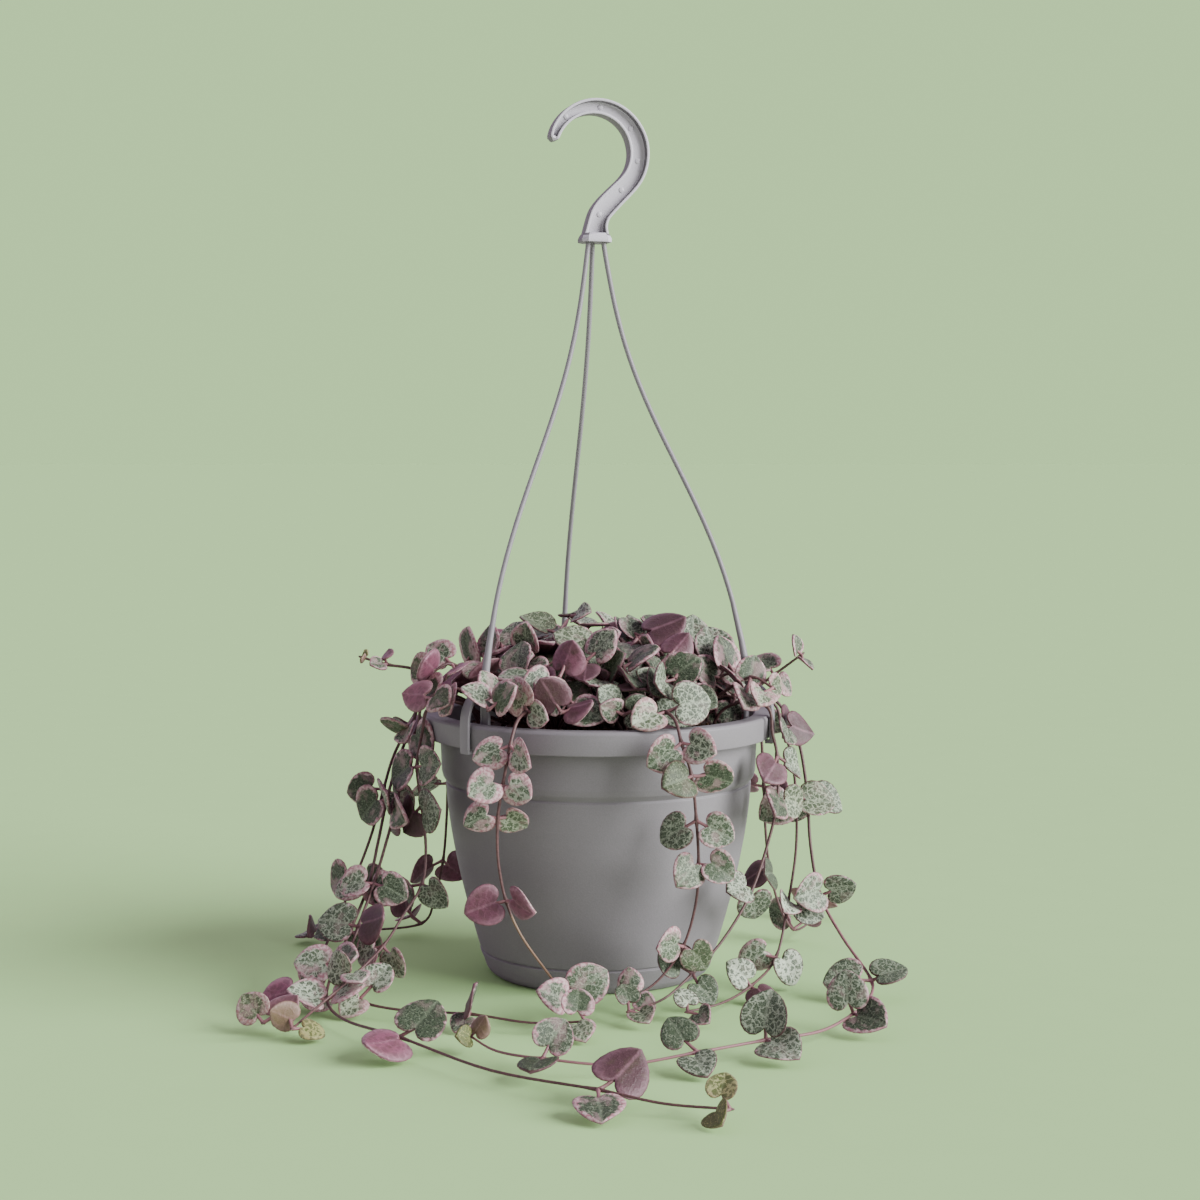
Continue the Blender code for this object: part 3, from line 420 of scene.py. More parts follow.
class Plant:
    def __init__(self):
        self.stems = {}
        self.parts = {}
        fixed = [turnedShape(layoutProfile(), potSize["layoutSides"])]
        wide, thick = hangerSize["strapWidth"] + 1.2, hangerSize["strapThickness"] + 1.0
        for azimuth in arms.values():
            fixed += [tubeShape(rodPath(azimuth), hangerSize["rodRadius"] + 0.5, 6),
                      strapShape(azimuth, strapLine, wide, thick)]
        fixed.append(tubeShape([Vector(point) for point in clearLine], clearRadius, 6))
        self.fixed = [treeOf(shape) for shape in fixed]

    def clear(self, owner, leaf, fat, thickness):
        envelope = plainBlade(leaf, fat, thickness, plantSize["stalkStart"])
        if min(p.z for p in envelope[0]) < plantSize["floorClearance"]:
            return False
        for p in envelope[0]:
            flat = math.hypot(p.x, p.y)
            if flat < potSize["collarRadius"] and p.z < soilTop(flat) + 2.0:
                return False
        body, whole = treeOf(envelope), treeOf(plainBlade(leaf, fat, thickness))
        if any(crosses(whole, f) for f in self.fixed):
            return False
        for name, parts in self.parts.items():
            if name == owner and any(kind != "wide stem" and crosses(body, part) for kind, part in parts):
                return False
            if name != owner and any(kind != "stem" and crosses(whole, part) for kind, part in parts):
                return False
        leaf["tree"] = body
        return True

    def stemClear(self, owner, route):
        wide = stemTree(finePath(route), plantSize["stemRoom"])
        return not any(
            kind == "wide stem" and crosses(wide, part)
            for name, parts in self.parts.items() if name != owner for kind, part in parts
        )

    def addTuber(self, owner, centre):
        wide = treeOf(tuberShape(centre, plantSize["tuberRadius"] + 0.8))
        self.parts.setdefault(owner, []).append(("wide stem", wide))

    def addStem(self, owner, route):
        path = finePath(route)
        self.stems.setdefault(owner, []).append({"path": path, "route": route, "leaves": []})
        parts = self.parts.setdefault(owner, [])
        parts += [("stem", stemTree(path, 0.0)), ("wide stem", stemTree(path, plantSize["stemRoom"]))]

    def addSprigs(self, owner, kind, number, centre, routeOf):
        for n in range(kind["count"]):
            routes = (routeOf(number, centre, n, attempt) for attempt in range(kind["tries"]))
            route = next((route for route in routes if self.stemClear(owner, route)), None)
            if route:
                self.addStem(owner, route)

    def addLeaves(self, owner, fat, thickness, first=0):
        for number, stem in enumerate(self.stems[owner]):
            if number < first:
                continue
            path = stem["path"]
            marks = stemMarks(path)
            for knot, point in enumerate(stem["route"]):
                if not point[3]:
                    continue
                node = nodeOnStem(path, marks, knot * plantSize["spanSteps"])
                along = direction(path, knot * plantSize["spanSteps"])
                wanted, down = self.leafAim(node, owner)
                side = along.cross(wanted).normalized()
                for hand in (-1, 1):
                    aim = (node, along, side * hand, wanted, down)
                    self.setLeaf(owner, stem, (number, knot, hand), aim, point[3], fat, thickness)

    def leafAim(self, node, owner):
        out = Vector((node.x, node.y, 0)).normalized()
        up, front = Vector((0, 0, 1)), Vector((0, -1, 0))
        if owner.startswith("clump"):
            p = plantSize
            mound = Vector((node.x / p["moundRadius"], node.y / p["moundRadius"],
                            (node.z - soilSize["edgeZ"]) / p["moundHeight"]))
            return (mound.normalized() * 0.75 + up * 0.3 + front * 0.4).normalized(), out * 0.5
        light = out if owner.startswith("vine_back") else front
        if node.z < plantSize["floorZone"]:
            return (light * 0.6 + up * 0.55 + out * 0.25).normalized(), up * 0.15
        return (light * 0.55 + up * 0.3 + out * 0.5).normalized(), -up

    def setLeaf(self, owner, stem, key, aim, size, fat, thickness):
        for attempt in range(plantSize["tries"]):
            smaller = size * (1 - plantSize["shrink"] * attempt / plantSize["tries"])
            leaf = leafDraw(f"{owner}{key}{attempt}", *aim, smaller)
            if self.clear(owner, leaf, fat, thickness):
                leaf["knot"] = key[1]
                stem["leaves"].append(leaf)
                self.parts[owner].append(("leaf", leaf.pop("tree")))
                return


def moundZ(radius):
    share = radius / (plantSize["moundRadius"] + 8)
    return soilSize["edgeZ"] + plantSize["moundHeight"] * math.sqrt(max(0.05, 1 - share**2))


def clumpPlaces():
    places = [Vector((4, 6))]
    for n in range(plantSize["clumps"] - 1):
        place = around(20 + 360 / (plantSize["clumps"] - 1) * n, 35.0, 0)
        places.append(Vector((place.x, place.y)))
    return places


def sprigEnds(draw, centre, turn, kind):
    spread = around(turn, draw.uniform(*kind["spread"]), 0)
    end = Vector((centre.x + spread.x, centre.y + spread.y, 0))
    reach = min(end.length, kind["widest"])
    end = end.normalized() * reach
    end.z = max(kind["lowest"], moundZ(reach) - draw.uniform(*kind["under"]))
    return Vector((centre.x, centre.y, plantSize["stemStartZ"])), end


def sprigRoute(number, centre, n, attempt):
    draw = random.Random(f"sprig{number}{n}{attempt}")
    turn = 360 / sprigs["count"] * n + draw.uniform(-25, 25) + 40 * number
    start, end = sprigEnds(draw, centre, turn, sprigs)
    middle = start.lerp(end, 0.55) + Vector((0, 0, 5))
    return (*start, 0), (*middle, draw.uniform(13, 16)), (*end, draw.uniform(13, 17))


def fillingRoute(number, centre, n, attempt):
    draw = random.Random(f"filling{number}{n}{attempt}")
    start, end = sprigEnds(draw, centre, draw.uniform(0, 360), filling)
    third, second = (start.lerp(end, share) + Vector((0, 0, 4)) for share in (0.4, 0.75))
    sizes = [draw.uniform(*filling["leaf"]) for _ in range(3)]
    return (*start, 0), (*third, sizes[0]), (*second, sizes[1]), (*end, sizes[2])


def tuberShape(centre, size, sides=8, shares=(-0.95, -0.55, 0.0, 0.55, 0.92)):
    rings = []
    for share in shares:
        radius = size * math.sqrt(1 - share * share)
        z = soilSize["edgeZ"] + 1 + size * share * 0.8
        turns = [2 * math.pi * s / sides for s in range(sides)]
        ring = [(centre.x + radius * math.cos(a), centre.y + radius * math.sin(a), z) for a in turns]
        rings.append([Vector(point) for point in ring])
    return sweepShape(rings)


def growPlant():
    plant = Plant()
    routes = dict(vines)
    for name, (azimuth, reach) in backVines.items():
        routes[name] = backRoute(azimuth, reach)
    for name, route in routes.items():
        plant.addStem(name, overRim(name, route))
    places = clumpPlaces()
    for number, centre in enumerate(places):
        plant.addTuber(f"clump_{number + 1}", centre)
    for route in shoots.values():
        foot = Vector(route[0][:2])
        nearest = min(range(len(places)), key=lambda n: (places[n] - foot).length)
        start = (*places[nearest], plantSize["stemStartZ"], 0)
        plant.addStem(f"clump_{nearest + 1}", (start, *route))
    for number, centre in enumerate(places):
        plant.addSprigs(f"clump_{number + 1}", sprigs, number, centre, sprigRoute)
    for name in plant.stems:
        plant.addLeaves(name, plantSize["fat"], plantSize["fatThickness"])
    return plant, places


def fillMound(plant, places):
    for number, centre in enumerate(places):
        name = f"clump_{number + 1}"
        first = len(plant.stems[name])
        plant.addSprigs(name, filling, number, centre, fillingRoute)
        plant.addLeaves(name, filling["fat"], filling["thickness"], first)


# Materials

operations = {"*": "MULTIPLY", "+": "ADD", "-": "SUBTRACT"}


def opaque(colour):
    return (*colour, 1.0)


class Shade:
    def __init__(self, name):
        self.material = bpy.data.materials.new(name)
        self.material.use_nodes = True
        self.tree = self.material.node_tree

    def add(self, kind, inputs, **settings):
        node = self.tree.nodes.new(kind)
        for key, value in settings.items():
            setattr(node, key, value)
        self.fill(node, inputs)
        return node

    def fill(self, node, inputs):
        for key, value in inputs.items():
            if isinstance(value, bpy.types.NodeSocket):
                self.tree.links.new(value, node.inputs[key])
            else:
                node.inputs[key].default_value = value

    def sum(self, sign, first, second, clamp=False):
        settings = {"operation": operations[sign], "use_clamp": clamp}
        return self.add("ShaderNodeMath", {0: first, 1: second}, **settings).outputs[0]

    def ramp(self, value, *stops):  # stops: (place, level)
        node = self.add("ShaderNodeValToRGB", {"Fac": value})
        node.color_ramp.interpolation = "EASE"
        while len(node.color_ramp.elements) < len(stops):
            node.color_ramp.elements.new(0.5)
        for element, (place, level) in zip(node.color_ramp.elements, stops):
            element.position = place
            element.color = (level, level, level, 1)
        return node.outputs["Color"]

    def mix(self, share, first, second):
        return self.add("ShaderNodeMix", {"Factor": share, 6: first, 7: second}, data_type="RGBA").outputs[2]

    def noise(self, vector, scale, detail=3.0, rough=0.5):
        inputs = {"Vector": vector, "Scale": scale, "Detail": detail, "Roughness": rough}
        return self.add("ShaderNodeTexNoise", inputs).outputs["Fac"]

    def cells(self, vector, scale):
        inputs = {"Vector": vector, "Scale": scale}
        return self.add("ShaderNodeTexVoronoi", inputs, feature="DISTANCE_TO_EDGE").outputs["Distance"]

    def named(self, name, kind):
        return self.add("ShaderNodeAttribute", {}, attribute_name=name).outputs[kind]

    def place(self):
        return self.add("ShaderNodeTexCoord", {}).outputs["Object"]

    def bump(self, height, strength, distance, **normal):
        inputs = {"Height": height, "Strength": strength, "Distance": distance, **normal}
        return self.add("ShaderNodeBump", inputs).outputs["Normal"]

    def finish(self, **values):
        inputs = {key.replace("_", " "): value for key, value in values.items()}
        self.fill(self.tree.nodes["Principled BSDF"], inputs)
        return self.material


plasticScale = {"speckle": 2600.0, "cloud": 38.0, "rub": 260.0, "grain": 1500.0}


def plasticMaterial(name, base, rough, speckle, grain):
    s = Shade(name)
    where = s.place()
    cloud = s.noise(where, plasticScale["cloud"], 4.0)
    rub = s.noise(where, plasticScale["rub"], 5.0, 0.62)
    light = opaque(min(1.0, c * (1 + speckle)) for c in base)
    dark = opaque(c * (1 - speckle) for c in base)
    fine = s.ramp(s.noise(where, plasticScale["speckle"], 2.0), (0.35, 0.0), (0.65, 1.0))
    colour = s.mix(fine, dark, light)
    colour = s.mix(s.sum("*", s.ramp(cloud, (0.4, 0.0), (0.7, 1.0)), 0.10), colour, light)
    bump = s.bump(s.noise(where, plasticScale["grain"], 3.0), grain, 0.0002)
    bump = s.bump(cloud, 0.06, 0.002, Normal=bump)
    rough = s.sum("+", s.sum("*", rub, 0.16), rough - 0.08)
    return s.finish(Base_Color=colour, Roughness=rough, Normal=bump)


plantColours = {  # linear light: the film look of the render is flat, so these are stronger than they seem
    "vein": (0.165, 0.215, 0.130), "veinPale": (0.57, 0.66, 0.50), "green": (0.026, 0.058, 0.022),
    "deepGreen": (0.007, 0.018, 0.006), "cell": (0.070, 0.115, 0.052), "deepCell": (0.026, 0.049, 0.020),
    "cream": (0.66, 0.49, 0.48), "rose": (0.42, 0.185, 0.225), "rim": (0.11, 0.042, 0.050),
    "young": (0.36, 0.36, 0.11), "youngDark": (0.12, 0.15, 0.035), "olive": (0.060, 0.046, 0.024),
    "under": (0.068, 0.030, 0.035), "underPink": (0.245, 0.088, 0.135), "underPale": (0.45, 0.24, 0.30),
    "stemDark": (0.045, 0.022, 0.020), "stem": (0.11, 0.055, 0.048), "stemPink": (0.42, 0.20, 0.22),
    "stemTan": (0.30, 0.20, 0.11), "soilDark": (0.012, 0.007, 0.005), "soil": (0.11, 0.052, 0.030),
    "soilPatch": (0.20, 0.09, 0.05), "crumbDark": (0.006, 0.004, 0.003), "crumb": (0.12, 0.06, 0.035),
}
tint = {name: opaque(colour) for name, colour in plantColours.items()}
leafNet = {  # the pale net of veins over a blade, in cells to a millimetre
    "swirl": (2.4, 2.4, 0.0), "swirlScale": 0.9, "cells": 0.42, "smallCells": 1.25, "underCells": 0.36,
    "wander": 0.55, "paleWidens": 0.135, "narrows": 0.045,
}


def soilMaterial():
    s = Shade("pottingSoil")
    where = s.place()
    crumb = s.add("ShaderNodeTexVoronoi", {"Vector": where, "Scale": 620.0}).outputs["Color"]
    grain = s.noise(where, 900.0, 5.0, 0.65)
    patch = s.ramp(s.noise(where, 90.0, 3.0), (0.5, 0.0), (0.7, 1.0))
    colour = s.mix(s.ramp(grain, (0.35, 0.0), (0.7, 1.0)), tint["soilDark"], tint["soil"])
    colour = s.mix(s.sum("*", patch, 0.6), colour, tint["soilPatch"])
    colour = s.mix(0.25, colour, s.mix(crumb, tint["crumbDark"], tint["crumb"]))
    return s.finish(Base_Color=colour, Roughness=0.93, Normal=s.bump(grain, 0.8, 0.0012))


def leafReads(s):  # dark, pink, pale, edge, rib, age, the place on the blade and the same place swirled
    tone = s.add("ShaderNodeSeparateColor", {"Color": s.named("leafTone", "Color")}).outputs
    edge = s.add("ShaderNodeSeparateXYZ", {"Vector": s.named("leafEdge", "Vector")}).outputs
    where = s.named("leafPlan", "Vector")
    inputs = {"Vector": where, "Scale": leafNet["swirlScale"], "Detail": 4.0}
    swirl = s.add("ShaderNodeTexNoise", inputs).outputs["Color"]
    moved = s.add("ShaderNodeVectorMath", {0: swirl, 1: leafNet["swirl"]}, operation="MULTIPLY").outputs[0]
    bent = s.add("ShaderNodeVectorMath", {0: where, 1: moved}, operation="ADD").outputs[0]
    return *tone, *edge, where, bent


def leafTopMaterial():
    s = Shade("leafTop")
    dark, pink, pale, edge, rib, age, where, bent = leafReads(s)
    fleck = s.noise(where, 2.2, 4.0, 0.62)
    lean = s.sum("*", s.sum("-", s.noise(where, 1.3, 4.0, 0.65), 0.5), leafNet["wander"])
    vein = s.sum("-", s.sum("*", pale, leafNet["paleWidens"]), leafNet["narrows"])
    net = s.sum("+", s.sum("-", s.cells(bent, leafNet["cells"]), vein), lean)
    small = s.sum("+", s.cells(bent, leafNet["smallCells"]), s.sum("*", lean, 0.5))
    island = s.ramp(net, (0.0, 0.0), (0.11, 1.0))
    fine = s.ramp(small, (0.0, 0.0), (0.16, 1.0))
    centre = s.ramp(net, (0.16, 0.0), (0.34, 1.0))
    silver = s.mix(pale, tint["vein"], tint["veinPale"])
    green = s.mix(dark, tint["green"], tint["deepGreen"])
    inner = s.mix(dark, tint["cell"], tint["deepCell"])
    patch = s.mix(s.sum("*", centre, 0.7), green, inner)
    patch = s.mix(s.sum("*", s.sum("-", 1.0, fine), 0.38), patch, silver)
    colour = s.mix(s.sum("*", island, 0.93), silver, patch)
    blush = s.ramp(s.noise(where, 0.17, 2.0), (0.50, 0.0), (0.66, 1.0))
    blush = s.sum("*", blush, s.sum("*", pink, 0.7))
    colour = s.mix(blush, colour, s.mix(fleck, tint["rose"], tint["cream"]))
    ragged = s.sum("*", s.sum("-", s.noise(where, 0.35, 3.0), 0.5), 0.7)
    reach = s.sum("-", 1.02, s.sum("*", pink, 0.44))
    band = s.sum("*", s.sum("-", s.sum("+", edge, ragged), reach), 9.0, clamp=True)
    margin = s.ramp(s.noise(where, 0.8, 3.0), (0.38, 0.0), (0.62, 1.0))
    margin = s.mix(margin, tint["rose"], tint["cream"])
    colour = s.mix(s.sum("*", band, 0.92), colour, margin)
    midrib = s.ramp(rib, (0.0, 1.0), (0.02, 0.8), (0.05, 0.0))
    colour = s.mix(s.sum("*", midrib, 0.45), colour, silver)
    lip = s.ramp(edge, (0.90, 0.0), (0.975, 1.0))
    lip = s.sum("*", lip, s.sum("-", 0.85, s.sum("*", band, 0.6)))
    colour = s.mix(lip, colour, tint["rim"])
    colour = s.mix(age, colour, s.mix(island, tint["young"], tint["youngDark"]))
    height = s.sum("+", s.sum("*", island, -0.4), s.sum("*", fleck, 0.5))
    rough = s.sum("+", 0.40, s.sum("*", fleck, 0.22))
    return s.finish(Base_Color=colour, Roughness=rough, Normal=s.bump(height, 0.35, 0.0005),
                    Subsurface_Weight=0.06, Subsurface_Radius=(0.004, 0.0025, 0.0015), Specular_IOR_Level=0.4)


def leafUnderMaterial():
    s = Shade("leafUnder")
    dark, pink, pale, edge, rib, age, where, bent = leafReads(s)
    broad = s.ramp(s.noise(where, 0.22, 3.0), (0.45, 0.0), (0.7, 1.0))
    fine = s.noise(where, 2.6, 4.0, 0.62)
    net = s.sum("+", s.cells(bent, leafNet["underCells"]), s.sum("*", s.sum("-", fine, 0.5), 0.3))
    net = s.ramp(net, (0.02, 1.0), (0.22, 0.0))
    colour = s.mix(s.ramp(pink, (0.15, 0.0), (0.8, 1.0)), tint["under"], tint["underPink"])
    colour = s.mix(s.sum("*", broad, s.sum("*", dark, 0.7)), colour, tint["olive"])
    flush = s.sum("*", s.ramp(edge, (0.5, 0.0), (1.0, 1.0)), s.sum("+", 0.25, s.sum("*", pink, 0.55)))
    grains = s.sum("*", s.ramp(fine, (0.46, 0.0), (0.72, 1.0)), 0.22)
    midrib = s.sum("*", s.ramp(rib, (0.0, 1.0), (0.06, 0.0)), 0.35)
    for share in (flush, grains, midrib):
        colour = s.mix(share, colour, tint["underPale"])
    colour = s.mix(s.sum("*", s.sum("-", 1.0, net), 0.55), colour, s.mix(0.62, colour, tint["under"]))
    colour = s.mix(s.sum("*", s.ramp(edge, (0.90, 0.0), (0.98, 1.0)), 0.5), colour, tint["rim"])
    colour = s.mix(s.sum("*", age, 0.3), colour, tint["young"])
    bump = s.bump(s.sum("+", fine, s.sum("*", net, 0.6)), 0.3, 0.0004)
    return s.finish(Base_Color=colour, Roughness=0.46, Normal=bump, Subsurface_Weight=0.06,
                    Subsurface_Radius=(0.004, 0.002, 0.002), Specular_IOR_Level=0.4)


def stemMaterial():
    s = Shade("stemSkin")
    tone = s.add("ShaderNodeSeparateColor", {"Color": s.named("leafTone", "Color")}).outputs
    grain = s.noise(s.place(), 900.0, 3.0)
    colour = s.mix(s.ramp(grain, (0.3, 0.0), (0.7, 1.0)), tint["stemDark"], tint["stem"])
    colour = s.mix(tone[1], colour, tint["stemPink"])
    colour = s.mix(tone[2], colour, tint["stemTan"])
    return s.finish(Base_Color=colour, Roughness=0.5, Normal=s.bump(grain, 0.3, 0.0003))


def backdropMaterial(fromWindow):  # as bright, fully lit, as the air behind it
    s = Shade("seamlessPaper")
    base = [c / (studio["sky"] * sky + fromWindow) for c, sky in zip(studio["paper"], studio["skyTint"])]
    colour = s.mix(s.noise(s.place(), 40.0, 2.0), opaque(base), opaque(c * 1.03 for c in base))
    seen = s.add("ShaderNodeLightPath", {}).outputs["Is Camera Ray"]
    colour = s.mix(seen, opaque(studio["paperThrows"]), colour)  # the film look dulls only what it shows
    return s.finish(Base_Color=colour, Roughness=1.0, Specular_IOR_Level=0.0)


# Meshes

def newObject(name, data):
    thing = bpy.data.objects.new(name, data)
    scene.collection.objects.link(thing)
    return thing


def joined(shapes):
    points, faces = [], []
    for more, moreFaces in shapes:
        start = len(points)
        points += more
        faces += [tuple(start + n for n in face) for face in moreFaces]
    return points, faces


def meshOf(name, shape, faceSlots=None):
    points, faces = shape
    mesh = bpy.data.meshes.new(name)
    mesh.from_pydata([tuple(p * mm) for p in points], [], [tuple(f) for f in faces])
    if faceSlots:
        mesh.polygons.foreach_set("material_index", faceSlots)
    edit = bmesh.new()
    edit.from_mesh(mesh)
    bmesh.ops.recalc_face_normals(edit, faces=edit.faces)
    edit.to_mesh(mesh)
    edit.free()
    return mesh


def makePiece(name, shape, materials, smoothAngle=None, faceSlots=None):
    mesh = meshOf(name, shape, faceSlots)
    mesh.shade_smooth()
    if smoothAngle:
        mesh.set_sharp_from_angle(angle=math.radians(smoothAngle))
    for material in materials:
        mesh.materials.append(material)
    piece = newObject(name, mesh)
    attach(piece, "root")
    return piece


class Bag:  # gathers the leaves and stems of one piece, with what their materials read
    def __init__(self):
        self.shapes, self.slots, self.plan, self.edge, self.tone = [], [], [], [], []

    def add(self, shape, slots, plan, edge, tone):
        self.shapes.append(shape)
        self.slots += slots
        self.plan += plan
        self.edge += edge
        self.tone += tone

    def addPlain(self, shape, tone):  # tone: for each point
        count = len(shape[0])
        self.add(shape, [2] * len(shape[1]), [(0, 0, 0)] * count, [(0, 1, 0)] * count, tone)

    def make(self, name, materials):
        piece = makePiece(name, joined(self.shapes), materials, faceSlots=self.slots)
        for key, kind, field, values in (
            ("leafPlan", "FLOAT_VECTOR", "vector", self.plan),
            ("leafEdge", "FLOAT_VECTOR", "vector", self.edge),
            ("leafTone", "FLOAT_COLOR", "color", self.tone),
        ):
            layer = piece.data.attributes.new(key, kind, "POINT")
            layer.data.foreach_set(field, np.array(values, dtype=np.float32).ravel())
        return piece


leafSize = {
    "outline": ((0.13, 0.0), (0.02, 0.085), (-0.05, 0.20), (-0.045, 0.345), (0.045, 0.47), (0.19, 0.545),
                (0.37, 0.555), (0.56, 0.505), (0.74, 0.395), (0.89, 0.225), (0.965, 0.09), (1.0, 0.0)),
    "reach": (0.0, 0.2, 0.42, 0.64, 0.81, 0.92, 0.98, 1.0), "thickness": 1.7, "fold": (-0.02, 0.16),
    "crease": 0.014, "creaseWidth": 0.06, "wave": 0.022, "samples": 12,
}


def outlinePoint(share):  # along half the outline, from the notch to the tip
    line = leafSize["outline"]
    place = share * (len(line) - 1)
    n = min(int(place), len(line) - 2)
    before = line[n - 1] if n else (line[1][0], -line[1][1])
    after = line[n + 2] if n + 2 < len(line) else (line[-2][0], -line[-2][1])
    return [curvePoint(*ends, place - n) for ends in zip(before, line[n], line[n + 1], after)]


def leafGrid():
    half = leafSize["samples"]
    first, span = plantSize["sinus"] + 0.06, 0.93 - plantSize["sinus"] - 0.06
    columns = []
    for j in range(2 * half):
        share = j / half if j <= half else (2 * half - j) / half
        u, v = outlinePoint(share)
        hand = 1 if j <= half else -1
        foot = first + span * share
        columns.append([(foot + (u - foot) * w, v * w * hand) for w in leafSize["reach"]])
    return columns


leafColumns = leafGrid()


def addLeaf(bag, leaf, looks):
    draw = random.Random(f"blade{leaf['draw']:.6f}")
    half, reach, size = leafSize["samples"], leafSize["reach"], leaf["size"]
    columns, last = 2 * half, len(leafSize["reach"]) - 1
    thick = leafSize["thickness"] * (0.8 + 0.4 * draw.random()) * (0.6 + 0.4 * min(1.0, size / 14))
    waves = [(draw.uniform(0, 6.28), draw.choice((2, 3, 4)), draw.uniform(0.3, 1.0) * leafSize["wave"])
             for _ in range(2)]
    fold = draw.uniform(*leafSize["fold"])
    offset = (draw.uniform(-400, 400), draw.uniform(-400, 400))
    points, plan, edge, index = [], [], [], {}
    for j, column in enumerate(leafColumns):
        turn = 2 * math.pi * j / columns
        for k, (u, v) in enumerate(column):
            if k == 0 and j > half:
                continue
            w = reach[k]
            rise = leaf["cup"] * v * v - leaf["curl"] * max(0.0, u - plantSize["centre"]) ** 2
            crease = leafSize["crease"] * math.exp(-((v / leafSize["creaseWidth"]) ** 2))
            rise += fold * math.sqrt(v * v + 0.01) - crease
            rise += w * w * sum(height * math.sin(turns * turn + start) for start, turns, height in waves)
            puff = math.sqrt(max(0.0, 1 - w**5)) * (1 - 0.12 * math.exp(-((w / 0.12) ** 2)))
            middle = leaf["origin"] + size * (leaf["along"] * u + leaf["side"] * v + leaf["face"] * rise)
            for layer in (1, -1) if k < last else (1,):
                index[j, k, layer] = len(points)
                points.append(middle + leaf["face"] * (layer * thick / 2 * puff))
                plan.append((u * size + offset[0], v * size + offset[1], 0))
                edge.append((w, abs(v), looks["age"]))

    def corner(j, k, layer):
        j %= columns
        if k == 0 and j > half:
            j = columns - j
        return index[j, k, 1 if k == last else layer]

    faces, slots = [], []
    for j in range(columns):
        for k in range(last):
            for layer in (1, -1):
                quad = [corner(j, k, layer), corner(j, k + 1, layer),
                        corner(j + 1, k + 1, layer), corner(j + 1, k, layer)]
                faces.append(quad if layer > 0 else quad[::-1])
                slots.append(0 if layer * looks["up"] > 0 else 1)
    bag.add((points, faces), slots, plan, edge, [looks["tone"]] * len(points))


def addStalk(bag, leaf, start, looks):
    notch = leaf["origin"] + leaf["along"] * leaf["size"] * (plantSize["sinus"] + 0.10)
    span = notch - start
    middle = start + span * 0.45 + leaf["face"] * span.length * 0.06 - Vector((0, 0, 0.04 * span.length))
    end = notch - leaf["face"] * 0.25
    line = [start * (1 - t) ** 2 + middle * 2 * t * (1 - t) + end * t * t for t in (n / 6 for n in range(7))]
    thick = 0.55 + 0.012 * leaf["size"]
    shape = tubeShape(line, [thick * f for f in (1.25, 1.05, 0.95, 0.92, 0.98, 0.9, 0.5)], 7)
    bag.addPlain(shape, [(0.0, 0.35 + 0.5 * looks["tone"][1], 0.0, 1)] * len(shape[0]))


# How young the last leaves of a vine are, and the size under which any leaf is a bud
youngTips = {
    "vine_left_a": 0.75, "vine_left_c": 0.85, "vine_left_d": 0.25, "vine_right_a": 0.8, "vine_back_a": 0.5,
}
bud = {"size": 5.0, "age": 0.95}

# Which leaves of the front vines show their pink underside, by route point
pinkSides = {"vine_front_left": (9,), "vine_front_right": ()}


def patternUp(owner, leaf):  # 1 where the patterned side is the blade's own face, -1 where it is the other
    if owner not in pinkSides:
        return 1
    return -1 if (leaf["face"].y > 0) != (leaf["knot"] in pinkSides[owner]) else 1


def leafLooks(owner, leaf, atTip):
    draw = random.Random(f"tone{leaf['tone']:.6f}")
    place = leaf["origin"]
    if owner.startswith("clump"):
        left = min(1.0, max(0.0, (-place.x - 15) / 35))
        right = min(1.0, max(0.0, (place.x - 30) / 35))
        base = (0.76 - 0.25 * left, 0.26 + 0.60 * left + 0.44 * right, 0.30 + 0.1 * right)
    else:
        dark, pink, pale = vineLooks[owner]
        low = 0.3 if owner.startswith("vine_left") and place.z < 26 and place.x < -70 else 0.0
        lying = 0.2 if owner == "vine_right_a" and place.z < 20 else 0.0
        base = (dark - low + lying, pink + low, pale + low - lying)
    tone = [min(1.0, max(0.0, level + draw.uniform(-0.36, 0.36))) for level in base]
    age = atTip + (0.12 if draw.random() < 0.12 else 0.0)
    return {"tone": (*tone, 1), "age": age, "up": patternUp(owner, leaf)}


stemSize = {"radius": 0.72, "taper": 0.35, "knot": 0.55, "knotReach": 1.3, "sides": 8, "lowZ": 40}


def addStem(bag, stem, owner):
    path, size = stem["path"], stemSize
    knots = [path[n * plantSize["spanSteps"]] for n, point in enumerate(stem["route"]) if point[3]]
    radii = []
    for n, point in enumerate(path):
        closest = min((point - knot).length for knot in knots) if knots else 9.0
        taper = 1.0 - size["taper"] * (n / len(path)) ** 2
        swollen = size["knot"] * math.exp(-(closest / size["knotReach"]) ** 2)
        radii.append(size["radius"] * taper * (1 + swollen))
    end = path[-1] + direction(path, len(path) - 1) * 1.6
    points, faces = tubeShape(path + [end], radii + [0.25], size["sides"])
    pink = 0.55 if owner == "vine_right_a" else 0.12
    tan = 0.7 if owner == "vine_front_left" else 0.0
    tone = []
    for point in points[:: size["sides"]]:
        low = point.z < size["lowZ"]
        tone += [(0.0, pink if low else 0.1, tan if low else 0.0, 1)] * size["sides"]
    bag.addPlain((points, faces), tone)


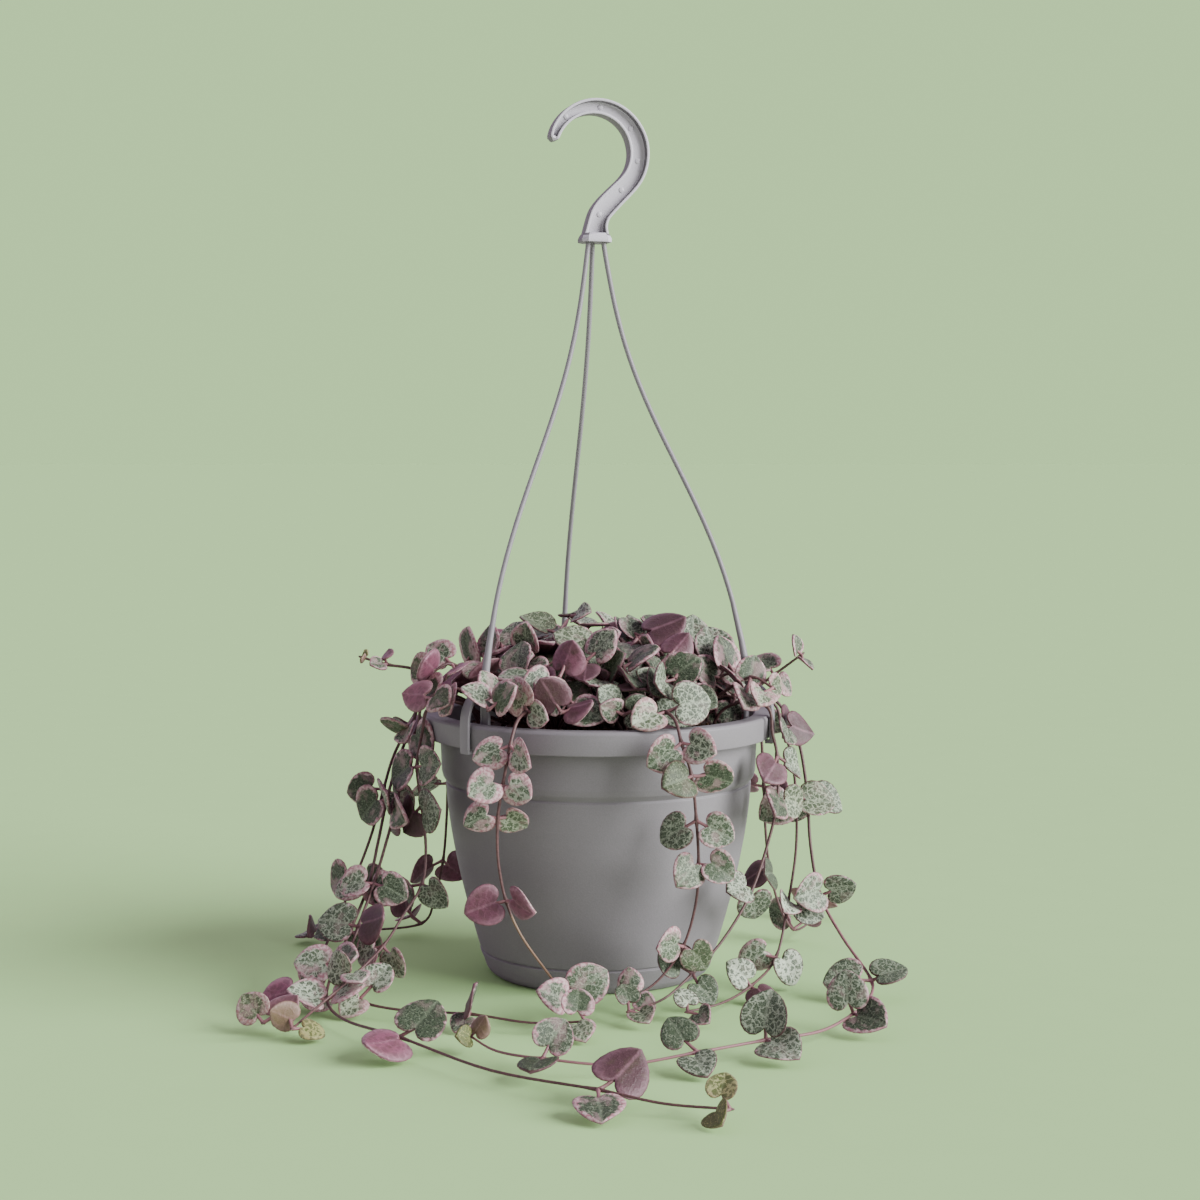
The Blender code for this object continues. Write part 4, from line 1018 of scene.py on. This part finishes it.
def makeFoliage(plant, places):
    materials = [leafTopMaterial(), leafUnderMaterial(), stemMaterial()]
    for name, stems in plant.stems.items():
        bag = Bag()
        if name.startswith("clump"):
            centre = places[int(name.split("_")[1]) - 1]
            shares = [math.sin(math.radians(a)) for a in range(-80, 81, 16)]
            tuber = tuberShape(centre, plantSize["tuberRadius"], 18, shares)
            bag.addPlain(tuber, [(0.0, 0.0, 0.25, 1)] * len(tuber[0]))
        for stem in stems:
            addStem(bag, stem, name)
            lastKnot = max((leaf["knot"] for leaf in stem["leaves"]), default=0)
            for leaf in stem["leaves"]:
                atTip = youngTips.get(name, 0.0) if leaf["knot"] == lastKnot else 0.0
                looks = leafLooks(name, leaf, bud["age"] if leaf["size"] < bud["size"] else atTip)
                addLeaf(bag, leaf, looks)
                addStalk(bag, leaf, stem["path"][leaf["knot"] * plantSize["spanSteps"]], looks)
        piece = bag.make(name.replace("_", "") + "Foliage", materials)
        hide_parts(name)
        print("foliage", name, sum(len(stem["leaves"]) for stem in stems), "leaves")


def rounded(corners, radius, steps=4):  # rounds the corners of an open profile
    out = [corners[0]]
    for before, corner, after in zip(corners, corners[1:], corners[2:]):
        a, b, c = Vector(before), Vector(corner), Vector(after)
        reach = min(radius, (a - b).length * 0.45, (c - b).length * 0.45)
        first, last = b + (a - b).normalized() * reach, b + (c - b).normalized() * reach
        for n in range(steps + 1):
            t = n / steps
            out.append(tuple(first * (1 - t) ** 2 + b * 2 * t * (1 - t) + last * t * t))
    return out + [corners[-1]]


def potProfile():
    p = potSize
    rim, top, skirt, wall = p["rimRadius"], p["rimTop"], p["rimRadius"] - p["skirtWall"], p["wall"]
    collar, shoulder, shoulderZ, foot = p["collarRadius"], p["shoulderRadius"], p["shoulderZ"], p["footLineZ"]
    footGroove, shoulderGroove = bowlRadius(foot) - p["groove"], shoulder - p["groove"]
    line = [(0, 0), (20, 0), (45.6, 0), (47.5, 1.3), (bowlRadius(3), 3.0), (bowlRadius(6), 6.0)]
    line += [(bowlRadius(foot) + p["footStep"] * 0.5, foot - 0.7), (footGroove, foot - 0.35),
             (footGroove, foot), (bowlRadius(foot + 0.4), foot + 0.4)]
    line += [(bowlRadius(z), z) for z in range(16, int(shoulderZ) - 1, 6)]
    line += [(shoulder, shoulderZ - 1.3), (shoulderGroove, shoulderZ - 0.9), (shoulderGroove, shoulderZ - 0.5)]
    line += [(collar - 1.5, p["shoulderTop"] - 1.9), (collar - 0.9, p["shoulderTop"] + 0.6)]
    line += [(collar, top - 2.6), (skirt, top - 2.6), (skirt - 0.2, p["skirtBottom"]),
             (rim - 0.35, p["skirtBottom"]), (rim, top - 1.1), (rim - 0.9, top), (collar - wall + 0.7, top),
             (collar - wall, top - 0.9)]
    line += [(innerRadius(z), z) for z in (p["shoulderTop"], shoulderZ, 60, 34, 12)]
    line += [(innerRadius(p["floorTop"]) - 2.5, p["floorTop"]), (20, p["floorTop"]), (0, p["floorTop"])]
    return rounded(line, 0.4, 3)


def cutHoles(piece, cutters):
    tools = bpy.data.collections.new("tools")
    scene.collection.children.link(tools)
    for shape in cutters:
        tools.objects.link(bpy.data.objects.new("tool", meshOf("tool", shape)))
    cut = piece.modifiers.new("holes", "BOOLEAN")
    cut.operation, cut.solver = "DIFFERENCE", "MANIFOLD"
    cut.operand_type, cut.collection = "COLLECTION", tools
    bpy.context.view_layer.update()
    cutMesh = bpy.data.meshes.new_from_object(piece.evaluated_get(bpy.context.evaluated_depsgraph_get()))
    piece.modifiers.clear()
    piece.data = cutMesh
    for tool in list(tools.objects):
        bpy.data.objects.remove(tool)
    bpy.data.collections.remove(tools)


def drill(x, y, low, high, radius):
    return tubeShape([Vector((x, y, z)) for z in (low, high)], radius, 20)


def makePot():
    plastic = plasticMaterial("speckledPlastic", finishes["pot"], 0.56, 0.055, 0.3)
    shape = turnedShape(potProfile(), potSize["sides"])
    piece = makePiece("potBody", shape, [plastic], smoothAngle=50)
    count, through = potSize["drainHoles"], (-1, potSize["floorTop"] + 1)
    places = [around(360 / count * n, potSize["drainCircle"], 0) for n in range(count)]
    cutHoles(piece, [drill(place.x, place.y, *through, potSize["drainRadius"]) for place in places])
    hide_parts("pot")
    print("pot", len(piece.data.polygons), "faces")


def soilBed(draw, edgeRadius):
    floor = potSize["floorTop"]
    rings = [(0, floor + 0.4), (innerRadius(floor) - 4.0, floor + 0.4)]
    rings += [(innerRadius(z) - 0.9, z) for z in (14, 48, 84, 87.5, 100)]
    rings += [(edgeRadius * (1 - n / 30), 0) for n in range(0, 30)]
    rings.append((0, 0))
    points, faces = turnedShape(rings, 96)
    limits = (0, 6.28), (0, 6.28), (0.08, 0.45), (0.08, 0.45)
    lumps = [[draw.uniform(*limit) for limit in limits] for _ in range(14)]
    for p in points:
        if p.z == 0:
            flat = math.hypot(p.x, p.y)
            wave = sum(math.sin(p.x * a + s) * math.sin(p.y * b + t) for s, t, a, b in lumps)
            p.z = soilTop(flat) + 0.28 * wave * min(1.0, (edgeRadius - flat) / 3 + 0.3)
    return points, faces


def soilCrumbs(draw, edgeRadius):
    ball = bmesh.new()
    bmesh.ops.create_icosphere(ball, subdivisions=2, radius=1.0)
    shell = [v.co.copy() for v in ball.verts]
    shellFaces = [[v.index for v in f.verts] for f in ball.faces]
    ball.free()
    crumbs = []
    for n in range(soilSize["crumbs"]):
        reach = edgeRadius * math.sqrt(draw.random()) * 0.985
        turn = draw.uniform(0, 2 * math.pi)
        size = draw.choice((0.5, 0.7, 0.9, 1.2, 1.7)) * draw.uniform(0.8, 1.25)
        if reach + size > edgeRadius:
            continue
        at = Vector((reach * math.cos(turn), reach * math.sin(turn), soilTop(reach) + size * 0.45))
        squash = Vector((draw.uniform(0.7, 1.2), draw.uniform(0.7, 1.2), draw.uniform(0.55, 0.95)))
        points = []
        for v in shell:
            bumpy = 1 + 0.22 * math.sin(5 * v.x + n) * math.sin(4 * v.y + 2 * n)
            points.append(at + v * squash * size * (bumpy + 0.12 * math.sin(9 * v.z + n)))
        crumbs.append((points, shellFaces))
    return joined(crumbs)


def makeSoil():
    draw = random.Random("soil lumps")
    edgeRadius = innerRadius(100) - 0.9
    soil = soilMaterial()
    piece = makePiece("soilBed", soilBed(draw, edgeRadius), [soil])
    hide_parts("potting_soil")
    crumbs = makePiece("soilCrumbs", soilCrumbs(draw, edgeRadius), [soil])
    print("soil", len(crumbs.data.polygons), "crumb faces")


def hookStations():
    h = hangerSize
    stations = []
    for n in range(15):
        share = n / 14
        angle = math.radians(h["tipAngle"] + (h["leaveAngle"] - h["tipAngle"]) * share)
        half = 1.9 + 2.4 * min(1.0, share * 1.4) ** 0.8
        stations.append((h["hookRadius"] * math.cos(angle), h["hookRadius"] * math.sin(angle), half))
    return [(p.x, p.y, p.z) for p in finePath(stations + list(hookNeck), 5)]


def hookSection(half, channel):  # across the bar: (side, depth), the channel open to the front at -depth
    deep, front = hangerSize["hookDepth"] / 2, -hangerSize["hookDepth"] / 2
    inner = max(0.25, half - hangerSize["channelWall"])
    floor = front + channel
    corners = [(half, 0), (half, deep), (-half, deep), (-half, front), (-inner, front),
               (-inner * 0.96, floor), (inner * 0.96, floor), (inner, front), (half, front), (half, 0)]
    return rounded(corners, 0.42, 3)[:-1]


def toHookPlace(point, height):
    h = hangerSize
    return Matrix.Translation((h["x"], 0, height)) @ Matrix.Rotation(h["hookTurn"], 4, "Z") @ point


def hookBar(stations):
    line = [Vector((x, 0, z)) for x, z, half in stations]
    travelled = [0.0]
    for a, b in zip(line, line[1:]):
        travelled.append(travelled[-1] + (b - a).length)
    rings = []
    for i, (x, z, half) in enumerate(stations):
        along = direction(line, i)
        side = Vector((along.z, 0, -along.x))
        fromTip, fromNeck = travelled[i], travelled[-1] - travelled[i]
        channel = min(1.0, max(0.0, (fromTip - 1.8) / 1.2), max(0.0, (fromNeck - 0.6) / 0.8))
        blunt = math.sqrt(max(0.04, 1 - max(0.0, 1 - fromTip / 2.0) ** 2))
        ring = []
        for s, d in hookSection(half, max(0.05, hangerSize["channelDepth"] * channel)):
            at = line[i] + side * s * blunt + Vector((0, d * (0.55 + 0.45 * blunt), 0))
            ring.append(toHookPlace(at, hangerSize["hookCentreZ"]))
        rings.append(ring)
    return sweepShape(rings)


def hookCollar():
    h = hangerSize
    halfX, halfY, cut = h["collar"][0] / 2, h["collar"][1] / 2, h["collarCorner"]
    outline = [(halfX, halfY - cut), (halfX - cut, halfY), (cut - halfX, halfY), (-halfX, halfY - cut)]
    outline += [(-x, -y) for x, y in outline]
    rings = []
    for rise, inset in h["collarSteps"]:
        grow, z = 1 - inset / halfX, h["collarBottom"] + rise
        rings.append([toHookPlace(Vector((x * grow, y * grow, z)), 0) for x, y in outline])
    return sweepShape(rings)


def hookPins(stations):
    h = hangerSize
    floor = -h["hookDepth"] / 2 + h["channelDepth"]
    turns = [2 * math.pi * n / 18 for n in range(18)]
    pins = []
    for share in (0.13, 0.3, 0.47, 0.62, 0.76, 0.9):
        x, z, half = stations[int(share * (len(stations) - 1))]
        scale = min(1.0, (half - h["channelWall"]) * 0.62)
        rings = []
        for depth, radius in ((0.3, 1.15), (-0.22, 1.15), (-0.32, 1.0)):
            ring = [(x + radius * scale * math.cos(a), floor + depth, z + radius * scale * math.sin(a))
                    for a in turns]
            rings.append([toHookPlace(Vector(point), h["hookCentreZ"]) for point in ring])
        pins.append(sweepShape(rings))
    return joined(pins)


def paintHookLightAndShade(piece):  # painted light and shade on one plastic: faces turned to the front get a lighter copy as painted light, all others a darker, rougher copy as painted shade
    front = Matrix.Rotation(hangerSize["hookTurn"], 3, "Z") @ Vector((0, -1, 0))
    for face in piece.data.polygons:
        face.material_index = 0 if face.normal.dot(front) > finishes["paintedLitTurn"] else 1


def makeHook():
    h = hangerSize
    stations = hookStations()
    # one hook plastic in two copies: a lighter one for front faces (painted light) and a darker one for flanks
    # and inner walls (painted shade)
    plastics = [plasticMaterial("hookPaintedLitFaces", finishes["hookPaintedLitFaces"], 0.38, 0.03, 0.12),
                plasticMaterial("hookPaintedShadeFlanks", finishes["hookPaintedShadeFlanks"], 0.5, 0.03, 0.2)]
    piece = makePiece("hookBar", hookBar(stations), plastics, smoothAngle=42)
    paintHookLightAndShade(piece)
    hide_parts("hook")
    collar = makePiece("hookCollar", hookCollar(), plastics, smoothAngle=30)
    low, high = h["collarBottom"] - 2, h["collarBottom"] + h["socketDepth"]
    places = [around(azimuth, h["socketCircle"], 0) for azimuth in arms.values()]
    wide = h["rodRadius"] + h["gap"] + 0.1
    cutHoles(collar, [drill(place.x + h["x"], place.y, low, high, wide) for place in places])
    paintHookLightAndShade(collar)
    makePiece("hookPinMarks", hookPins(stations), plastics[:1], smoothAngle=40)
    print("hook", len(piece.data.polygons), "faces")


def strapSection(width, thickness):
    w, t = width / 2, thickness / 2
    outer = [(-w, -t), (-w, t - 0.15), (-w * 0.72, t), (-w * 0.46, t), (-w * 0.38, t - 0.35),
             (w * 0.38, t - 0.35), (w * 0.46, t), (w * 0.72, t), (w, t - 0.15), (w, -t)]
    return rounded([(0, -t)] + outer + [(0, -t)], 0.22, 2)[:-1]


def makeArm(name, azimuth, plastic):
    h = hangerSize
    rod = finePath([(*p, 0) for p in rodPath(azimuth, 14)], 5)
    line = finePath([(r, 0, z) for r, z in strapLine], 6)
    across = around(azimuth + 90, 1, 0)
    rings = []
    for i, point in enumerate(line):
        along = direction(line, i)
        side = Vector((-along.z, 0, along.x))
        ease = h["strapEnds"][min(i, len(line) - 1 - i, 2)]
        ring = []
        for s, t in strapSection(h["strapWidth"], h["strapThickness"]):
            at = point + side * t * ease
            ring.append(around(azimuth, at.x, at.z) + across * s * ease)
        rings.append(ring)
    lip = strapShape(azimuth, lipLine, h["strapWidth"] - 0.6, h["lipThickness"])
    foot = tubeShape([rod[-14], rod[-8], rod[-4], rod[-1]], h["rodFoot"], 14)
    shape = joined([tubeShape(rod, h["rodRadius"], 16), sweepShape(rings), lip, foot])
    piece = makePiece(name.replace("_", "") + "Rod", shape, [plastic], smoothAngle=40)
    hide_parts(name)


# Studio

finishes = {
    # the hook's two finishes are one plastic in a painted-lit copy and a painted-shade copy
    "pot": (0.219, 0.211, 0.221), "rods": (0.255, 0.245, 0.262), "hookPaintedLitFaces": (0.60, 0.58, 0.64),
    "hookPaintedShadeFlanks": (0.170, 0.162, 0.174), "paintedLitTurn": 0.6,
}
studio = {
    "paper": (0.6244, 0.9634, 0.4415), "paperThrows": (0.60, 0.70, 0.52), "paperReach": 120.0,
    "cameraPlace": (0.00065, -0.898, 0.221), "cameraPitch": 86.165, "lens": 62.58,
    "sky": 0.42, "skySlope": (-0.10, 0.24, 0.0), "skyTint": (1.18, 0.93, 1.24),
    "windowAzimuth": 69.0, "windowHeight": 21.0, "windowSpread": 48.0, "windowPower": 7.2,
}


def makeSky():  # dimmer in front than behind, as in a room with one bright window
    sky = bpy.data.worlds.new("studioAir")
    scene.world = sky
    sky.use_nodes = True
    nodes, link = sky.node_tree.nodes, sky.node_tree.links.new
    slope = nodes.new("ShaderNodeVectorMath")
    slope.operation = "DOT_PRODUCT"
    slope.inputs[1].default_value = studio["skySlope"]
    link(nodes.new("ShaderNodeTexCoord").outputs["Generated"], slope.inputs[0])
    level = nodes.new("ShaderNodeMath")
    level.inputs[1].default_value = studio["sky"]
    link(slope.outputs["Value"], level.inputs[0])
    lit, seen, both = nodes["Background"], nodes.new("ShaderNodeBackground"), nodes.new("ShaderNodeMixShader")
    link(level.outputs[0], lit.inputs["Strength"])
    lit.inputs["Color"].default_value = opaque(studio["skyTint"])
    seen.inputs["Color"].default_value = opaque(studio["paper"])
    link(nodes.new("ShaderNodeLightPath").outputs["Is Camera Ray"], both.inputs["Fac"])
    link(lit.outputs[0], both.inputs[1])
    link(seen.outputs[0], both.inputs[2])
    link(both.outputs[0], nodes["World Output"].inputs["Surface"])


def makeStudio():
    camera = bpy.data.cameras.new("camera")
    camera.lens, camera.sensor_width, camera.clip_end = studio["lens"], 36.0, 300
    scene.camera = newObject("camera", camera)
    scene.camera.location = studio["cameraPlace"]
    scene.camera.rotation_euler = (math.radians(studio["cameraPitch"]), 0, 0)
    lamp = bpy.data.lights.new("window", "SUN")
    lamp.angle, lamp.energy = math.radians(studio["windowSpread"]), studio["windowPower"]
    window = newObject("window", lamp)
    height = math.radians(studio["windowHeight"])
    toWindow = around(studio["windowAzimuth"], math.cos(height), math.sin(height))
    window.location = toWindow * 2
    window.rotation_euler = (-toWindow).to_track_quat("-Z", "Y").to_euler()
    makeSky()
    mesh = bpy.data.meshes.new("backdrop")
    r = studio["paperReach"]
    mesh.from_pydata([(-r, -r, 0), (r, -r, 0), (r, r, 0), (-r, r, 0)], [], [(0, 1, 2, 3)])
    mesh.materials.append(backdropMaterial(studio["windowPower"] * toWindow.z / math.pi))
    newObject("backdrop", mesh)


makeStudio()
print("studio set")
plant, places = growPlant()
fillMound(plant, places)
print("plant laid out")
makePot()
makeSoil()
makeHook()
rodPlastic = plasticMaterial("rodPlastic", finishes["rods"], 0.42, 0.03, 0.12)
for armName, armAzimuth in arms.items():
    makeArm(armName, armAzimuth, rodPlastic)
print("rods made")
makeFoliage(plant, places)
